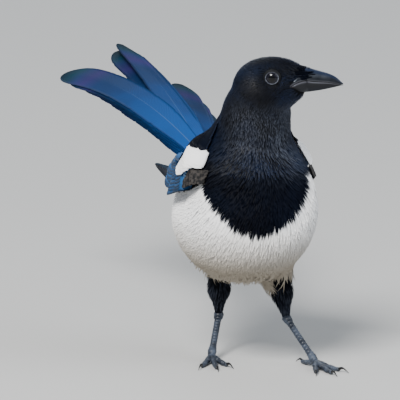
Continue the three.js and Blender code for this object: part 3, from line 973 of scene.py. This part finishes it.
def addVane(heap, place, steps, columns, thickness, patch, **marks):
    t = (1 - (1 - np.linspace(0, 1, steps)) ** 1.25)[:, None] * np.ones((1, columns))
    a = np.linspace(-1, 1, columns)[None, :] * np.ones((steps, 1))
    lift = thickness / 2 * (1 - 0.6 * np.abs(a))
    top, bottom = place(t, a, lift), place(t, a, -lift)
    ids = np.arange(steps * columns).reshape(steps, columns)
    quads = gridQuads(ids)
    rim = np.concatenate([ids[:, 0], ids[-1, 1:], ids[-2::-1, -1], ids[0, -2:0:-1]])
    after = np.roll(rim, -1)
    under = steps * columns
    walls = np.column_stack([rim, rim + under, after + under, after])
    facing = np.cross(top[1, 0] - top[0, 0], top[0, 1] - top[0, 0]) @ (top[0, 0] - bottom[0, 0])
    faces = np.concatenate([quads, quads[:, ::-1] + under, walls[:, ::-1]])
    if facing > 0:
        faces = faces[:, ::-1]
    column, row = patch % mapCells, patch // mapCells % mapCells
    u = (column + 0.25 + 0.21 * np.stack([a, a + 2.3])) / mapCells
    v = (row + 0.05 + 0.9 * np.stack([t, t])) / mapCells
    heap.add(np.stack([top, bottom]), faces[:, ::-1], along=np.stack([t, t]), across=np.stack([a, a]),
             mapU=u, mapV=v, **marks)


def addRachis(heap, place, width, height, steps, start, end, **marks):
    t = np.linspace(start, end, steps)[:, None]
    half = mix(width, width * 0.25, (t - start) / (end - start))
    centre = place(t, 0 * t, 0 * t)
    raised = place(t, 0 * t, 0 * t + 1) - centre
    beside = unit(place(t, 0 * t + 0.05, 0 * t) - centre)
    rise = mix(height, height * 0.35, (t - start) / (end - start))
    offsets = vec((-1, 0), (0, 1), (1, 0), (0, -1))
    points = centre + beside * (half * offsets[:, 0])[..., None] + raised * (rise * offsets[:, 1])[..., None]
    ids = np.arange(steps * 4).reshape(steps, 4)
    after = np.roll(ids, -1, 1)
    quads = np.stack([ids[:-1], ids[1:], after[1:], after[:-1]], -1).reshape(-1, 4)
    caps = np.stack([ids[0][::-1], ids[-1]])
    flat = np.ones((1, 4))
    heap.add(points, np.concatenate([quads, caps]), along=t * flat, across=0 * t * flat,
             mapU=(0.002 + 0.001 * np.arange(4)) * np.ones_like(t), mapV=0.003 * t * flat, **marks)


def overBack(angle):  # feathers lie lower where the wing turns over the back
    return mix(1, 0.4, ease(np.degrees(angle), 45, 78))


def vanePlace(side, root, tip, halfWidth, rootShare, roundFrom, bow, heightAt):  # a vane on the chart
    run = unit(vec(tip[0] - root[0], math.radians(tip[1] - root[1]) * wing["chartRadius"]))

    def place(t, a, lift):
        half = halfWidth * featherOutline(t, rootShare, roundFrom)
        y = mix(root[0], tip[0], t) - run[1] * a * half
        angle = np.radians(mix(root[1], tip[1], t)) + run[0] * a * half / wing["chartRadius"]
        return onWing(side, y, angle, heightAt(t, a * half, y, angle) + lift - bow * np.abs(a) * half)

    return place


def wingPlace(side, root, tip, halfWidth, height, tilt, fall, roundFrom):
    def heightAt(t, across, y, angle):
        raised = mix(min(height, wing["rootHeight"]), height, ease(t, 0, 0.4)) - tilt * across - fall * t
        return raised * overBack(angle)

    return vanePlace(side, root, tip, halfWidth, 0.5, roundFrom, 0.03, heightAt)


def tierOf(count, rootA, rootB, tipA, tipB):
    for i in range(count):
        t = i / max(count - 1, 1)
        yield t, mix(vec(*rootA), vec(*rootB), t), mix(vec(*tipA), vec(*tipB), t)


# Count, half width, lowest and highest height, tilt, fall, where the tip starts to round, and then roots and
# tips from the lowest to the highest
quills = {
    "primaries": (8, 7.2, 0.3, 2.3, 0.0, 0.0, 0.55, (8, 28), (14, 33), (134, 26), (96, 29)),
    "secondaries": (9, 7.4, 4.8, 4.8, 0.16, 0.4, 0.8, (-12, 35), (18, 57), (77, 21), (88, 50)),
    "tertials": (3, 9.5, 7.0, 7.8, 0.06, 0.8, 0.8, (15, 59), (20, 68), (86, 57), (64, 71)),
    "coverts": (11, 5.0, 7.2, 7.2, 0.2, 1.2, 0.8, (-12, 33), (8, 54), (28, 19), (48, 48)),
    "median": (10, 4.4, 8.0, 8.0, 0.2, 0.8, 0.8, (-10, 31), (2, 50), (13, 24), (28, 43)),
}
# Small feathers of the shoulder: each patch's centre line on the chart, half its width in degrees, rows,
# feathers in a row, length, half width, share of the shoulder's height, rise, and how far forward the left
# patch is shifted
softFeathers = {
    "white": ((-14, 49), (11, 41.5), (3.5, 7), 12, 9, 15, 2.9, 1, 0.6, 3),
    "brown": ((-25, 41), (-6, 31), (3.4, 4), 10, 6, 8, 1.8, 0.72, 0.1, 0),
    "mantle": ((-7, 70), (46, 69), (11.5, 22), 14, 16, 15, 3.6, 1, 1.3, 0),
}


def shoulderHeight(y, angle):  # of the small feathers over the flesh, from the wing's slanting front back
    risen = mix(0.9, 9.2, ease(y - wingFrontAt(np.degrees(angle)), 0, 26))
    return risen * overBack(angle) - 1.4 * ease(y, 5, 50)


def softPlace(side, root, tip, halfWidth, swell, rise, roundFrom):
    def heightAt(t, across, y, angle):
        return shoulderHeight(y, angle) * swell + rise + mix(-1, 0.2, t)

    return vanePlace(side, root, tip, halfWidth, 0.6, roundFrom, 0.04, heightAt)


wingBlueFinish, wingDarkFinish = wingBlue(), wingDark()
wingRandom = np.random.default_rng(21)


def addQuills(heap, side, patch, name, **marks):
    count, half, low, high, tilt, fall, roundFrom, rootA, rootB, tipA, tipB = quills[name]
    for t, root, tip in tierOf(count, rootA, rootB, tipA, tipB):
        tip = tip + wingRandom.normal(0, 1, 2) * (1.6, 0.5)
        place = wingPlace(side, root, tip, half, mix(low, high, t), tilt, fall, roundFrom)
        tone = wingRandom.random()
        addVane(heap, place, 20, 7, 0.45, patch, tone=tone, rachis=0.0, **marks)
        addRachis(heap, place, 0.4, 0.3, 12, 0.02, 0.95, tone=tone, rachis=1.0, **marks)
        patch += 1
    return patch


def addSoft(heap, side, patch, name, **marks):
    start, end, halves, rows, count, length, width, swell, rise, forward = softFeathers[name]
    start, end = vec(*start), vec(*end)
    start[0] -= forward * (side > 0)
    slant = math.radians(end[1] - start[1]) * wing["chartRadius"] / (end[0] - start[0])
    for row in range(rows):
        t = row / (rows - 1)
        half = mix(*halves, ease(t, 0, 0.5)) * (1 - 0.4 * ease(t, 0.7, 1))
        for i in range(count):
            a = (i + 0.5 * (row % 2) + 0.25) / (count - 0.5) * 2 - 1
            middle = mix(start, end, t) + vec(wingRandom.normal(0, 0.7), a * half + wingRandom.normal(0, 0.4))
            yaw = wingRandom.normal(0, 0.05)
            own = length * wingRandom.uniform(0.85, 1.1)
            run = own / 2 * vec(1, math.degrees((slant + yaw) / wing["chartRadius"]))
            broad, high = width * wingRandom.uniform(0.8, 1.1), rise + wingRandom.uniform(-0.1, 0.1)
            roundFrom = wingRandom.uniform(0.1, 0.4)
            place = softPlace(side, middle - run, middle + run, broad, swell, high, roundFrom)
            addVane(heap, place, 10, 5, 0.22, patch, tone=wingRandom.random(), rachis=0.0, **marks)
            patch += 1


for name, side in sides.items():
    blue, dark, pale, mantle = Heap(), Heap(), Heap(), Heap()
    addQuills(dark, side, 0, "primaries", brown=0.0)
    patch = 0
    for tier in ("secondaries", "tertials", "coverts", "median"):
        patch = addQuills(blue, side, patch, tier, brown=0.0)
    addSoft(dark, side, 20, "brown", brown=1.0)
    addSoft(pale, side, 0, "white")
    addSoft(mantle, side, 0, "mantle", grey=0.0)
    blue.made(f"wing_quills_{name}", wingBlueFinish, "wing_feathers", replaced=(f"wing_{name}",))
    dark.made(f"wing_dark_{name}", wingDarkFinish, "wing_feathers")
    pale.made(f"scapulars_{name}", white, "plumage_white")
    mantle.made(f"mantle_{name}", black, "plumage_black")


# Tail: twelve long feathers in one stack that parts into three leaning groups

tail = {
    "rows": [  # layer below the top, turn, rise, share of the length, roll at root and tip, arch
        (0, -9.4, 8.6, 0.98, 16, 27, 18),
        (1, 2.2, 13.9, 0.98, 8, -26, 9.5),
        (2, 0.9, 13.3, 0.96, 8, 14, 9),
        (1, -9.9, 8.3, 0.9, 16, 27, 18),
        (2, -10.2, 8.2, 0.8, 16, 27, 18),
        (3, -10.4, 8.1, 0.7, 16, 27, 18),
        (4, -10.6, 8, 0.62, 16, 27, 18),
        (5, -10.8, 7.9, 0.55, 16, 27, 18),
        (2.6, 12.6, 7.9, 0.81, -6, -24, 9.5),
        (3.5, 14.4, 6.7, 0.71, -8, -24, 9.5),
        (4.4, 16, 5.8, 0.62, -10, -24, 9.5),
        (5, 17, 6.2, 0.55, -12, -22, 9.5),
    ],
    "half": 12,
    "layer": 0.9,
    "rootAt": 12,
}


def tailPlace(layer, turn, rise, share, rootRoll, tipRoll, arch):
    turn, rise, full = math.radians(turn), math.radians(rise), stance["tailLength"]
    length = full * share
    alongAxis = vec(math.sin(turn) * math.cos(rise), math.cos(turn) * math.cos(rise), math.sin(rise))
    outward = vec(math.cos(turn), -math.sin(turn), 0)
    over = np.cross(outward, alongAxis)

    def place(t, a, lift):
        part = mix(tail["rootAt"] / length, 1, t)
        distance = length * part
        roll = np.radians(mix(rootRoll, tipRoll, distance / full))[..., None]
        half = tail["half"] * featherOutline(part, 0.4, 0.86) * (0.88 + 0.12 * share)
        half = half * (1 - 0.05 * (np.sin(part * 71 + turn * 40) * np.sin(part * 23)) ** 8)
        bow = 4 * arch * distance * (full - distance) / full**2
        side = outward * np.cos(roll) + over * np.sin(roll)
        up = over * np.cos(roll) - outward * np.sin(roll)
        return (stance["tailRoot"] + alongAxis * distance[..., None] + side * (a * half)[..., None]
                + up * (lift - 0.07 * np.abs(a) * half)[..., None]
                + vec(0, 0, 1) * (bow - layer * tail["layer"])[..., None])

    return place


tailHeap = Heap()
tailRandom = np.random.default_rng(5)
for patch, row in enumerate(tail["rows"]):
    place = tailPlace(*row)
    tone = tailRandom.random()
    addVane(tailHeap, place, 90, 11, 0.5, patch, tone=tone, rachis=0.0)
    addRachis(tailHeap, place, 0.55, 0.45, 30, 0.02, 0.97, tone=tone, rachis=1.0)
tailHeap.made("tail_feathers", tailBlue(), "tail_feathers", replaced=("tail",))


# Bill: rows of distance ahead of the head's centre, heights of ridge, mouth and keel, and half the width

bill = {
    "rows": [
        (20, 9, -1.2, -7, 7.4), (25, 10.8, 1.6, -6.9, 7.2), (30, 11.4, 2.8, -6.5, 6.7),
        (35, 10.1, 2.2, -5.7, 5.9), (40, 8.9, 1.8, -4.8, 4.9), (46, 7.3, 1.5, -3.4, 3.7),
        (51, 5, 0.5, -2.1, 2.4), (54.5, 2.1, -0.2, -1.1, 1.2), (56.3, 0.5, -0.4, -0.8, 0.5),
    ],
    "gap": 0.5, "sides": 28, "steps": 60,
}


def through(rows, count):  # a smooth curve through rows of numbers
    rows = vec(*rows)
    padded = np.concatenate([[2 * rows[0] - rows[1]], rows, [2 * rows[-1] - rows[-2]]])
    t = np.linspace(0, len(rows) - 1, count)
    i = np.minimum(t.astype(int), len(rows) - 2)
    u = (t - i)[:, None]
    p0, p1, p2, p3 = (padded[i + k] for k in range(4))
    bend, twist = 2 * p0 - 5 * p1 + 4 * p2 - p3, 3 * p1 - p0 - 3 * p2 + p3
    return 0.5 * (2 * p1 + (p2 - p0) * u + bend * u**2 + twist * u**3)


def addSweep(heap, rings, **marks):  # rings of points, closed at both ends by a fan
    steps, sides = rings.shape[:2]
    ids = np.arange(steps * sides).reshape(steps, sides)
    after = np.roll(ids, -1, 1)
    quads = np.stack([ids[:-1], after[:-1], after[1:], ids[1:]], -1).reshape(-1, 4)
    points = np.concatenate([rings.reshape(-1, 3), rings[0].mean(0)[None], rings[-1].mean(0)[None]])
    first = steps * sides
    fans = np.concatenate([
        np.column_stack([np.full(sides, first), after[0], ids[0]]),
        np.column_stack([np.full(sides, first + 1), ids[-1], after[-1]]),
    ])
    full = {}
    for name, value in marks.items():
        value = np.broadcast_to(value, rings.shape[:2])
        full[name] = np.concatenate([value.ravel(), [value[0].mean(), value[-1].mean()]])
    heap.add(points, quads, **full)
    heap.faces.append(fans + heap.count - len(points))


def faceHalf(ahead, up):  # half the width of the face there
    return bodyReach(onHead(ahead, 0, up), headLeft, 20, 1.0)


billHornFinish = billHorn()
for part, upward in (("upper", 1), ("lower", -1)):
    turns = np.linspace(0, math.tau, bill["sides"], endpoint=False)
    rise = np.maximum(np.sin(turns), 0)
    rings = []
    for ahead, ridge, mouth, keel, half in through(bill["rows"], bill["steps"]):
        tall = abs((ridge if upward > 0 else keel) - mouth) - bill["gap"] / 2
        wide = np.cos(turns) * half * (1 - 0.15 * rise) * (1 if upward > 0 else 0.93)
        up = mouth + upward * (bill["gap"] / 2 + rise ** 0.85 * tall)
        if ahead < 31:  # the gape stands just proud of the feathered face
            rounded = ((up - mouth) / 5.5) ** 2 * (1 - ease(ahead, 20, 27))
            flare = vec(*[faceHalf(ahead, u) for u in up]) + mix(-0.9, 0.35, ease(ahead, 20, 24)) - rounded
            top = mix(0.08, 0.35, ease(ahead, 20, 26)) if upward > 0 else mix(0.05, 0.7, ease(ahead, 20, 28))
            low = 1 - ease(rise, top, top + 0.3)
            share = low * np.abs(np.cos(turns)) ** 0.3
            wide = wide + np.sign(wide) * np.maximum(flare - np.abs(wide), 0) * share
        rings.append(np.stack([onHead(ahead, w, u) for w, u in zip(wide, up)]))
    rings = np.stack(rings)
    heap = Heap()
    addSweep(heap, rings[:, ::upward], rim=rise[::upward], under=float(upward < 0))
    heap.made(f"horn_{part}", billHornFinish, "bill_horn", replaced=(f"bill_{part}",))


# Growth: trees that set small solids out over a patch or along a path

class Growth(Graph):
    def __init__(self, name, **inputs):
        self.tree = bpy.data.node_groups.new(name, "GeometryNodeTree")
        self.tree.interface.new_socket("Geometry", in_out="INPUT", socket_type="NodeSocketGeometry")
        kinds = {int: "NodeSocketInt", float: "NodeSocketFloat"}
        self.ids = {}
        for label, value in inputs.items():
            kind = kinds.get(type(value), "NodeSocketMaterial")
            socket = self.tree.interface.new_socket(label, in_out="INPUT", socket_type=kind)
            self.ids[label] = socket.identifier
        self.values = inputs
        self.tree.interface.new_socket("Geometry", in_out="OUTPUT", socket_type="NodeSocketGeometry")
        super().__init__(self.tree)
        self.start = self.node("NodeGroupInput")

    def given(self, label):
        return self.start.outputs[label]

    def named(self, name, kind):
        made = self.node("GeometryNodeInputNamedAttribute", {"data_type": kind}, {"Name": name})
        return made.outputs["Attribute"]

    def ended(self, instances):
        real = self.node("GeometryNodeRealizeInstances", sockets={"Geometry": instances})
        dressed = self.node("GeometryNodeSetMaterial",
                            sockets={"Geometry": real.outputs[0], "Material": self.given("Material")})
        self.node("NodeGroupOutput", sockets={"Geometry": dressed.outputs[0]})

    def grown(self, name, base):  # the plain mesh that the tree makes on the base object
        modifier = base.modifiers.new("growth", "NODES")
        modifier.node_group = self.tree
        for label, identifier in self.ids.items():
            modifier[identifier] = self.values[label]
        depsgraph = bpy.context.evaluated_depsgraph_get()
        mesh = bpy.data.meshes.new_from_object(base.evaluated_get(depsgraph))
        base.modifiers.remove(modifier)
        bpy.data.objects.remove(base)
        return linked(name, mesh)


def baseObject(name, points, edges, faces, direction, number):
    mesh = bpy.data.meshes.new(name)
    mesh.from_pydata(((points + birdOrigin) / 1000).tolist(), edges, faces)
    for (label, values), kind, field in ((direction, "FLOAT_VECTOR", "vector"), (number, "FLOAT", "value")):
        attribute = mesh.attributes.new(label, kind, "POINT")
        attribute.data.foreach_set(field, values.astype(np.float32).ravel())
    return linked(name, mesh)


# Bristles of the nostrils and the corners of the mouth, leaning forward over the bill's base

bristles = {"Density": 2200000.0, "Seed": 4, "Thickness": 0.030, "Bend": 0.07, "Material": black}


def bristleTree():
    g = Growth("nostril bristles", **bristles)
    roots = g.node("GeometryNodeDistributePointsOnFaces", sockets={
        "Mesh": g.given("Geometry"), "Density": g.given("Density"), "Seed": g.given("Seed")})
    half = g.node("ShaderNodeCombineXYZ", sockets={"X": g.given("Bend"), "Z": 0.5})
    line = g.node("GeometryNodeCurveQuadraticBezier",
                  sockets={"Resolution": 5, "Start": (0, 0, 0), "Middle": half.outputs[0], "End": (0, 0, 1)})
    share = Value(g, g.node("GeometryNodeSplineParameter").outputs["Factor"])
    tapered = g.node("GeometryNodeSetCurveRadius",
                     sockets={"Curve": line.outputs[0], "Radius": 1.04 - share * share})
    section = g.node("GeometryNodeCurvePrimitiveCircle",
                     sockets={"Resolution": 5, "Radius": g.given("Thickness")})
    solid = g.node("GeometryNodeCurveToMesh", sockets={
        "Curve": tapered.outputs[0], "Profile Curve": section.outputs[0], "Fill Caps": True})
    scatter = g.node("FunctionNodeRandomValue", {"data_type": "FLOAT_VECTOR"},
                     {"Min": (-0.11, -0.11, -0.12), "Max": (0.11, 0.11, 0.09), "Seed": g.given("Seed")})
    heading = g.node("ShaderNodeVectorMath", {"operation": "ADD"},
                     {0: g.named("forward", "FLOAT_VECTOR"), 1: scatter.outputs["Value"]})
    turned = g.node("FunctionNodeAlignRotationToVector", {"axis": "Z"}, {"Vector": heading.outputs[0]})
    growth = g.node("FunctionNodeRandomValue", {"data_type": "FLOAT"}, {"Min": 0.6, "Max": 1.15, "Seed": 9})
    size = Value(g, growth.outputs["Value" if growth.outputs["Value"].enabled else 1])
    placed = g.node("GeometryNodeInstanceOnPoints", sockets={
        "Points": roots.outputs["Points"], "Instance": solid.outputs[0], "Rotation": turned.outputs[0],
        "Scale": size * Value(g, g.named("stretch", "FLOAT"))})
    g.ended(placed.outputs[0])
    return g


def brow(ahead, left):  # a place on the forehead, sunk a little
    start, up = onHead(ahead, left, 0), vec(0, 0, 1)
    return start + up * (bodyReach(start, up, 30, 1.0) - 1.5)


patchRows, patchColumns = 8, 9
sideLow, sideHigh = 2.6, 11


def sidePatch(side):
    for ahead in np.linspace(15.5, 22.5, patchRows):
        for up in np.linspace(sideLow, sideHigh, patchColumns):
            share = (up - sideLow) / (sideHigh - sideLow)
            foremost = mix(25, 32, share**0.6) + 0.5 * (ahead - 15)
            target = onHead(foremost, side * mix(7.2, 2.4, ease(up, 4, 11)), mix(3.8, 9.4, share))
            yield onFace(ahead, side, min(up, 10.4), -1.6), target


def browPatch():
    for ahead in np.linspace(15, 22.5, patchRows):
        for left in np.linspace(-6, 6, patchColumns):
            yield brow(ahead, left), onHead(27.5 + 0.5 * (ahead - 15), left * 0.5, 10.4 - 0.05 * left**2)


bristleGrowth = bristleTree()
for name, patch in (("left", sidePatch(1)), ("right", sidePatch(-1)), ("brow", browPatch())):
    points, targets = (np.array(places) for places in zip(*patch))
    faces = gridQuads(np.arange(len(points)).reshape(patchRows, patchColumns)).tolist()
    span = targets - points
    base = baseObject(f"bristle_patch_{name}", points, [], faces, ("forward", unit(span)),
                      ("stretch", np.linalg.norm(span, axis=1) / 1000))
    onRoot(bristleGrowth.grown(f"nasal_bristles_{name}", base), "plumage_black")


# Eyes, and round each a lid with a pale rim

eye = {
    "radius": 5.8, "sunk": 0.6,
    "profile": [(4.05, 3.7), (4.15, 4.25), (4.45, 4.5), (4.75, 4.2), (5.2, 3.7), (6.3, 2.7), (6.2, 1.8)],
}
eyeFinish, lidFinish = eyeGloss(), lidSkin()
for name, side in sides.items():
    out = unit(headLeft * side + headAhead * 0.1)
    up = unit(vec(0, 0, 1) - out * out[2])
    beside = np.cross(up, out)
    angle = np.linspace(0, math.tau, 48, endpoint=False)
    polar = np.linspace(0.02, math.pi - 0.02, 40)
    spoke = np.cos(angle)[:, None] * beside + np.sin(angle)[:, None] * up
    sunk = eyeAt[name] - eye["sunk"] * out
    rings = sunk + eye["radius"] * (np.cos(polar)[:, None, None] * out + np.sin(polar)[:, None, None] * spoke)
    away = np.where(polar < math.pi / 2, np.sin(polar) * eye["radius"] / 4.4, 1)
    heap = Heap()
    addSweep(heap, rings[:, ::-1], away=away[:, None])
    heap.made(f"eyeball_{name}", eyeFinish, "eye_gloss", replaced=(f"eye_{name}",))
    radius, height = vec(*eye["profile"]).T
    beads = 1 + 0.012 * np.sin(angle * 24)
    oval = np.cos(angle)[:, None] * beside * 1.02 + np.sin(angle)[:, None] * up * 0.95
    lid = sunk + (oval * beads[:, None])[:, None] * radius[None, :, None] + height[None, :, None] * out
    ids = np.arange(lid.shape[0] * lid.shape[1]).reshape(lid.shape[:2])
    onward, outer = np.roll(ids, -1, 0), np.roll(ids, -1, 1)
    quads = np.stack([ids, outer, np.roll(onward, -1, 1), onward], -1).reshape(-1, 4)
    heap = Heap()
    heap.add(lid, quads, away=ease(radius, 4.7, 5.4)[None, :], upper=ease(np.sin(angle), 0, 0.9)[:, None])
    heap.made(f"lid_{name}", lidFinish, "plumage_black")


# Legs: shanks and toes with scutes down their fronts, and claws

leg = {"half": 2.0, "ankle": 2.8}
toes = [("inner", 27, 21), ("middle", 2, 27), ("outer", -24, 22), ("hind", 176, 17)]
toe = {"root": 2.2, "end": 1.4, "height": 1.5}
claw = {"root": 1.3, "length": 8.5, "arch": 1.9}
legFinish, clawFinish = legScales(), clawHorn()
scutes = {"Count": 14, "Sweep": 215.0, "Length": 1.35, "Thickness": 0.17, "Material": legFinish}


def scuteTree(**sizes):
    g = Growth("scutes", **sizes)
    path = g.node("GeometryNodeMeshToCurve", sockets={"Mesh": g.given("Geometry")})
    spots = g.node("GeometryNodeCurveToPoints", {"mode": "COUNT"},
                   {"Curve": path.outputs[0], "Count": g.given("Count")})
    sweep = g.math("RADIANS", Value(g, g.given("Sweep")))
    arc = g.node("GeometryNodeCurveArc", {"mode": "RADIUS"}, {
        "Resolution": 13, "Radius": 1.0, "Start Angle": sweep * -0.5, "Sweep Angle": sweep})
    thick, long = Value(g, g.given("Thickness")), Value(g, g.given("Length"))
    corners = {}
    for index, (over, back) in enumerate(((-1.0, -0.5), (0.0, -0.5), (1.0, 0.5), (-1.0, 0.5))):
        corner = g.node("ShaderNodeCombineXYZ", sockets={"X": thick * over, "Y": long * back})
        corners[f"Point {index + 1}"] = corner.outputs[0]
    wedge = g.node("GeometryNodeCurvePrimitiveQuadrilateral", {"mode": "POINTS"}, corners)
    plate = g.node("GeometryNodeCurveToMesh", sockets={
        "Curve": arc.outputs[0], "Profile Curve": wedge.outputs[0], "Fill Caps": True})
    upright = g.node("FunctionNodeAlignRotationToVector", {"axis": "Z"}, {"Vector": spots.outputs["Tangent"]})
    turned = g.node("FunctionNodeAlignRotationToVector", {"axis": "X", "pivot_axis": "Z"},
                    {"Rotation": upright.outputs[0], "Vector": g.named("front", "FLOAT_VECTOR")})
    placed = g.node("GeometryNodeInstanceOnPoints", sockets={
        "Points": spots.outputs["Points"], "Instance": plate.outputs[0], "Rotation": turned.outputs[0],
        "Scale": g.named("size", "FLOAT")})
    g.ended(placed.outputs[0])
    return g


def addScutes(name, path, front, radius, **sizes):
    edges = [(i, i + 1) for i in range(len(path) - 1)]
    base = baseObject(f"{name}_path", path, edges, [], ("front", np.broadcast_to(front, path.shape)),
                      ("size", radius / 1000))
    onRoot(scuteTree(**{**scutes, **sizes}).grown(name, base), "leg_scales")


def sweptRings(path, wide, tall, sides, upward):
    tangent = unit(np.gradient(path, axis=0))
    side = unit(np.cross(tangent, upward))
    rise = np.cross(side, tangent)
    angle = np.linspace(0, math.tau, sides, endpoint=False)
    return (path[:, None] + side[:, None] * (wide[:, None] * np.cos(angle))[..., None]
            + rise[:, None] * (tall[:, None] * np.sin(angle))[..., None])


for name, outward in sides.items():
    heel, foot = stance["heel"][name], stance["foot"][name]
    t = np.linspace(0, 1, 60)
    path = mix(heel + (heel - foot) * 0.03, foot, t[:, None])
    size = leg["half"] + (leg["ankle"] - leg["half"]) * (ease(t, 0.75, 1) + 1 - ease(t, 0, 0.22))
    size = size + 0.6 * np.exp(-((t - 0.03) / 0.05) ** 2)
    heap = Heap()
    addSweep(heap, sweptRings(path, size * 0.88, size * 1.1, 20, vec(0, -1, 0.2))[:, ::-1])
    heap.made(f"tarsus_{name}", legFinish, "leg_scales", replaced=(f"shank_{name}",))
    ahead = unit(vec(foot[0] - heel[0], foot[1] - heel[1], 0))
    addScutes(f"shank_scutes_{name}", path[4:56:3] + ahead * 0.12, ahead, (size * 1.06)[4:56:3])
    heap, clawHeap = Heap(), Heap()
    for toeName, degrees, length in toes:
        turn = stance["toeHeading"][name] - outward * math.radians(degrees)
        ahead = vec(math.sin(turn), -math.cos(turn), 0)

        def at(distance, up):
            return vec(foot[0], foot[1], up) + ahead * distance

        t = np.linspace(0, 1, 60)
        knuckles = [at(0, foot[2]), at(length * 0.35, 3.1), at(length * 0.7, 1.85), at(length, toe["height"])]
        path = through(knuckles, 60)
        size = mix(toe["root"], toe["end"], t) + 0.16 * np.cos(t * 6 * math.pi)
        size = size * np.sqrt(np.maximum(1 - np.maximum(t - 0.93, 0) ** 2 / 0.0085, 0.05))
        rings = sweptRings(path, size, size, 18, vec(0, 0, 1))
        rings[..., 2] = np.maximum(rings[..., 2], 0.02)
        addSweep(heap, rings[:, ::-1])
        addScutes(f"scutes_{toeName}_{name}", path[10:56:3], vec(0, 0, 1), (size * 1.02)[10:56:3],
                  Count=11, Sweep=170.0, Length=1.25, Thickness=0.13)
        start = length - 1.4
        crest = at(start + 0.5 * claw["length"], toe["height"] + claw["arch"] * 0.8)
        clawPath = through([at(start, toe["height"]), crest, at(length + claw["length"], 0.25)], 24)
        taper = mix(claw["root"], 0.15, np.linspace(0, 1, 24) ** 1.2)
        clawRings = sweptRings(clawPath, taper * 0.8, taper, 12, vec(0, 0, 1))
        clawRings[..., 2] = np.maximum(clawRings[..., 2], 0.02)
        addSweep(clawHeap, clawRings[:, ::-1])
    heap.made(f"toes_{name}", legFinish, "leg_scales", replaced=(f"foot_{name}",))
    clawHeap.made(f"claws_{name}", clawFinish, "claw_horn",
                  replaced=tuple(f"claw_{toeName}_{name}" for toeName, _, _ in toes))


# Studio: pale floor, soft lights, and a camera low on the bird's front right

studio = {
    "azimuth": math.radians(-20), "elevation": math.radians(11), "distance": 6.0, "frameWidth": 0.288,
    "target": vec(-22.3, 31.6, 113.4), "floorSize": 30.0,
}


def plainFloor():
    f = Finish("pale floor", Specular_IOR_Level=0.1)
    f.colour((0.50, 0.50, 0.495))
    f.rough(0.9)
    return f.material


bpy.ops.mesh.primitive_plane_add(size=studio["floorSize"])
floor = bpy.context.object
floor.name = "floor"
floor.data.materials.append(plainFloor())

target = Vector((studio["target"] + birdOrigin) / 1000)
az, el = studio["azimuth"], studio["elevation"]
back = Vector((math.sin(az) * math.cos(el), -math.cos(az) * math.cos(el), math.sin(el)))
camera = linked("camera", bpy.data.cameras.new("camera"))
camera.data.sensor_width = 36
camera.data.lens = 36 * studio["distance"] / studio["frameWidth"]
camera.data.clip_start, camera.data.clip_end = 0.1, 100
camera.location = target + back * studio["distance"]
camera.rotation_mode = "QUATERNION"
camera.rotation_quaternion = (-back).to_track_quat("-Z", "Y")
bpy.context.scene.camera = camera

softLights = [  # name, place, width, power, colour
    ("key", (-1.7, -1.9, 2.6), 1.3, 230, (1.0, 0.985, 0.96)),
    ("fill", (2.0, -1.5, 1.5), 1.6, 34, (0.90, 0.95, 1.0)),
    ("rim", (0.6, 2.2, 2.1), 1.2, 28, (0.90, 0.95, 1.0)),
]
for name, place, width, power, tint in softLights:
    lamp = bpy.data.lights.new(name, "AREA")
    lamp.size, lamp.energy, lamp.color = width, power, tint
    light = linked(name, lamp)
    light.location = place
    light.rotation_mode = "QUATERNION"
    light.rotation_quaternion = (target - light.location).to_track_quat("-Z", "Y")
    light.visible_camera = False

world = bpy.data.worlds.new("sky")
bpy.context.scene.world = world
world.use_nodes = True
world.node_tree.nodes["Background"].inputs[0].default_value = (0.82, 0.88, 0.95, 1)
world.node_tree.nodes["Background"].inputs[1].default_value = 0.4
print("studio set")
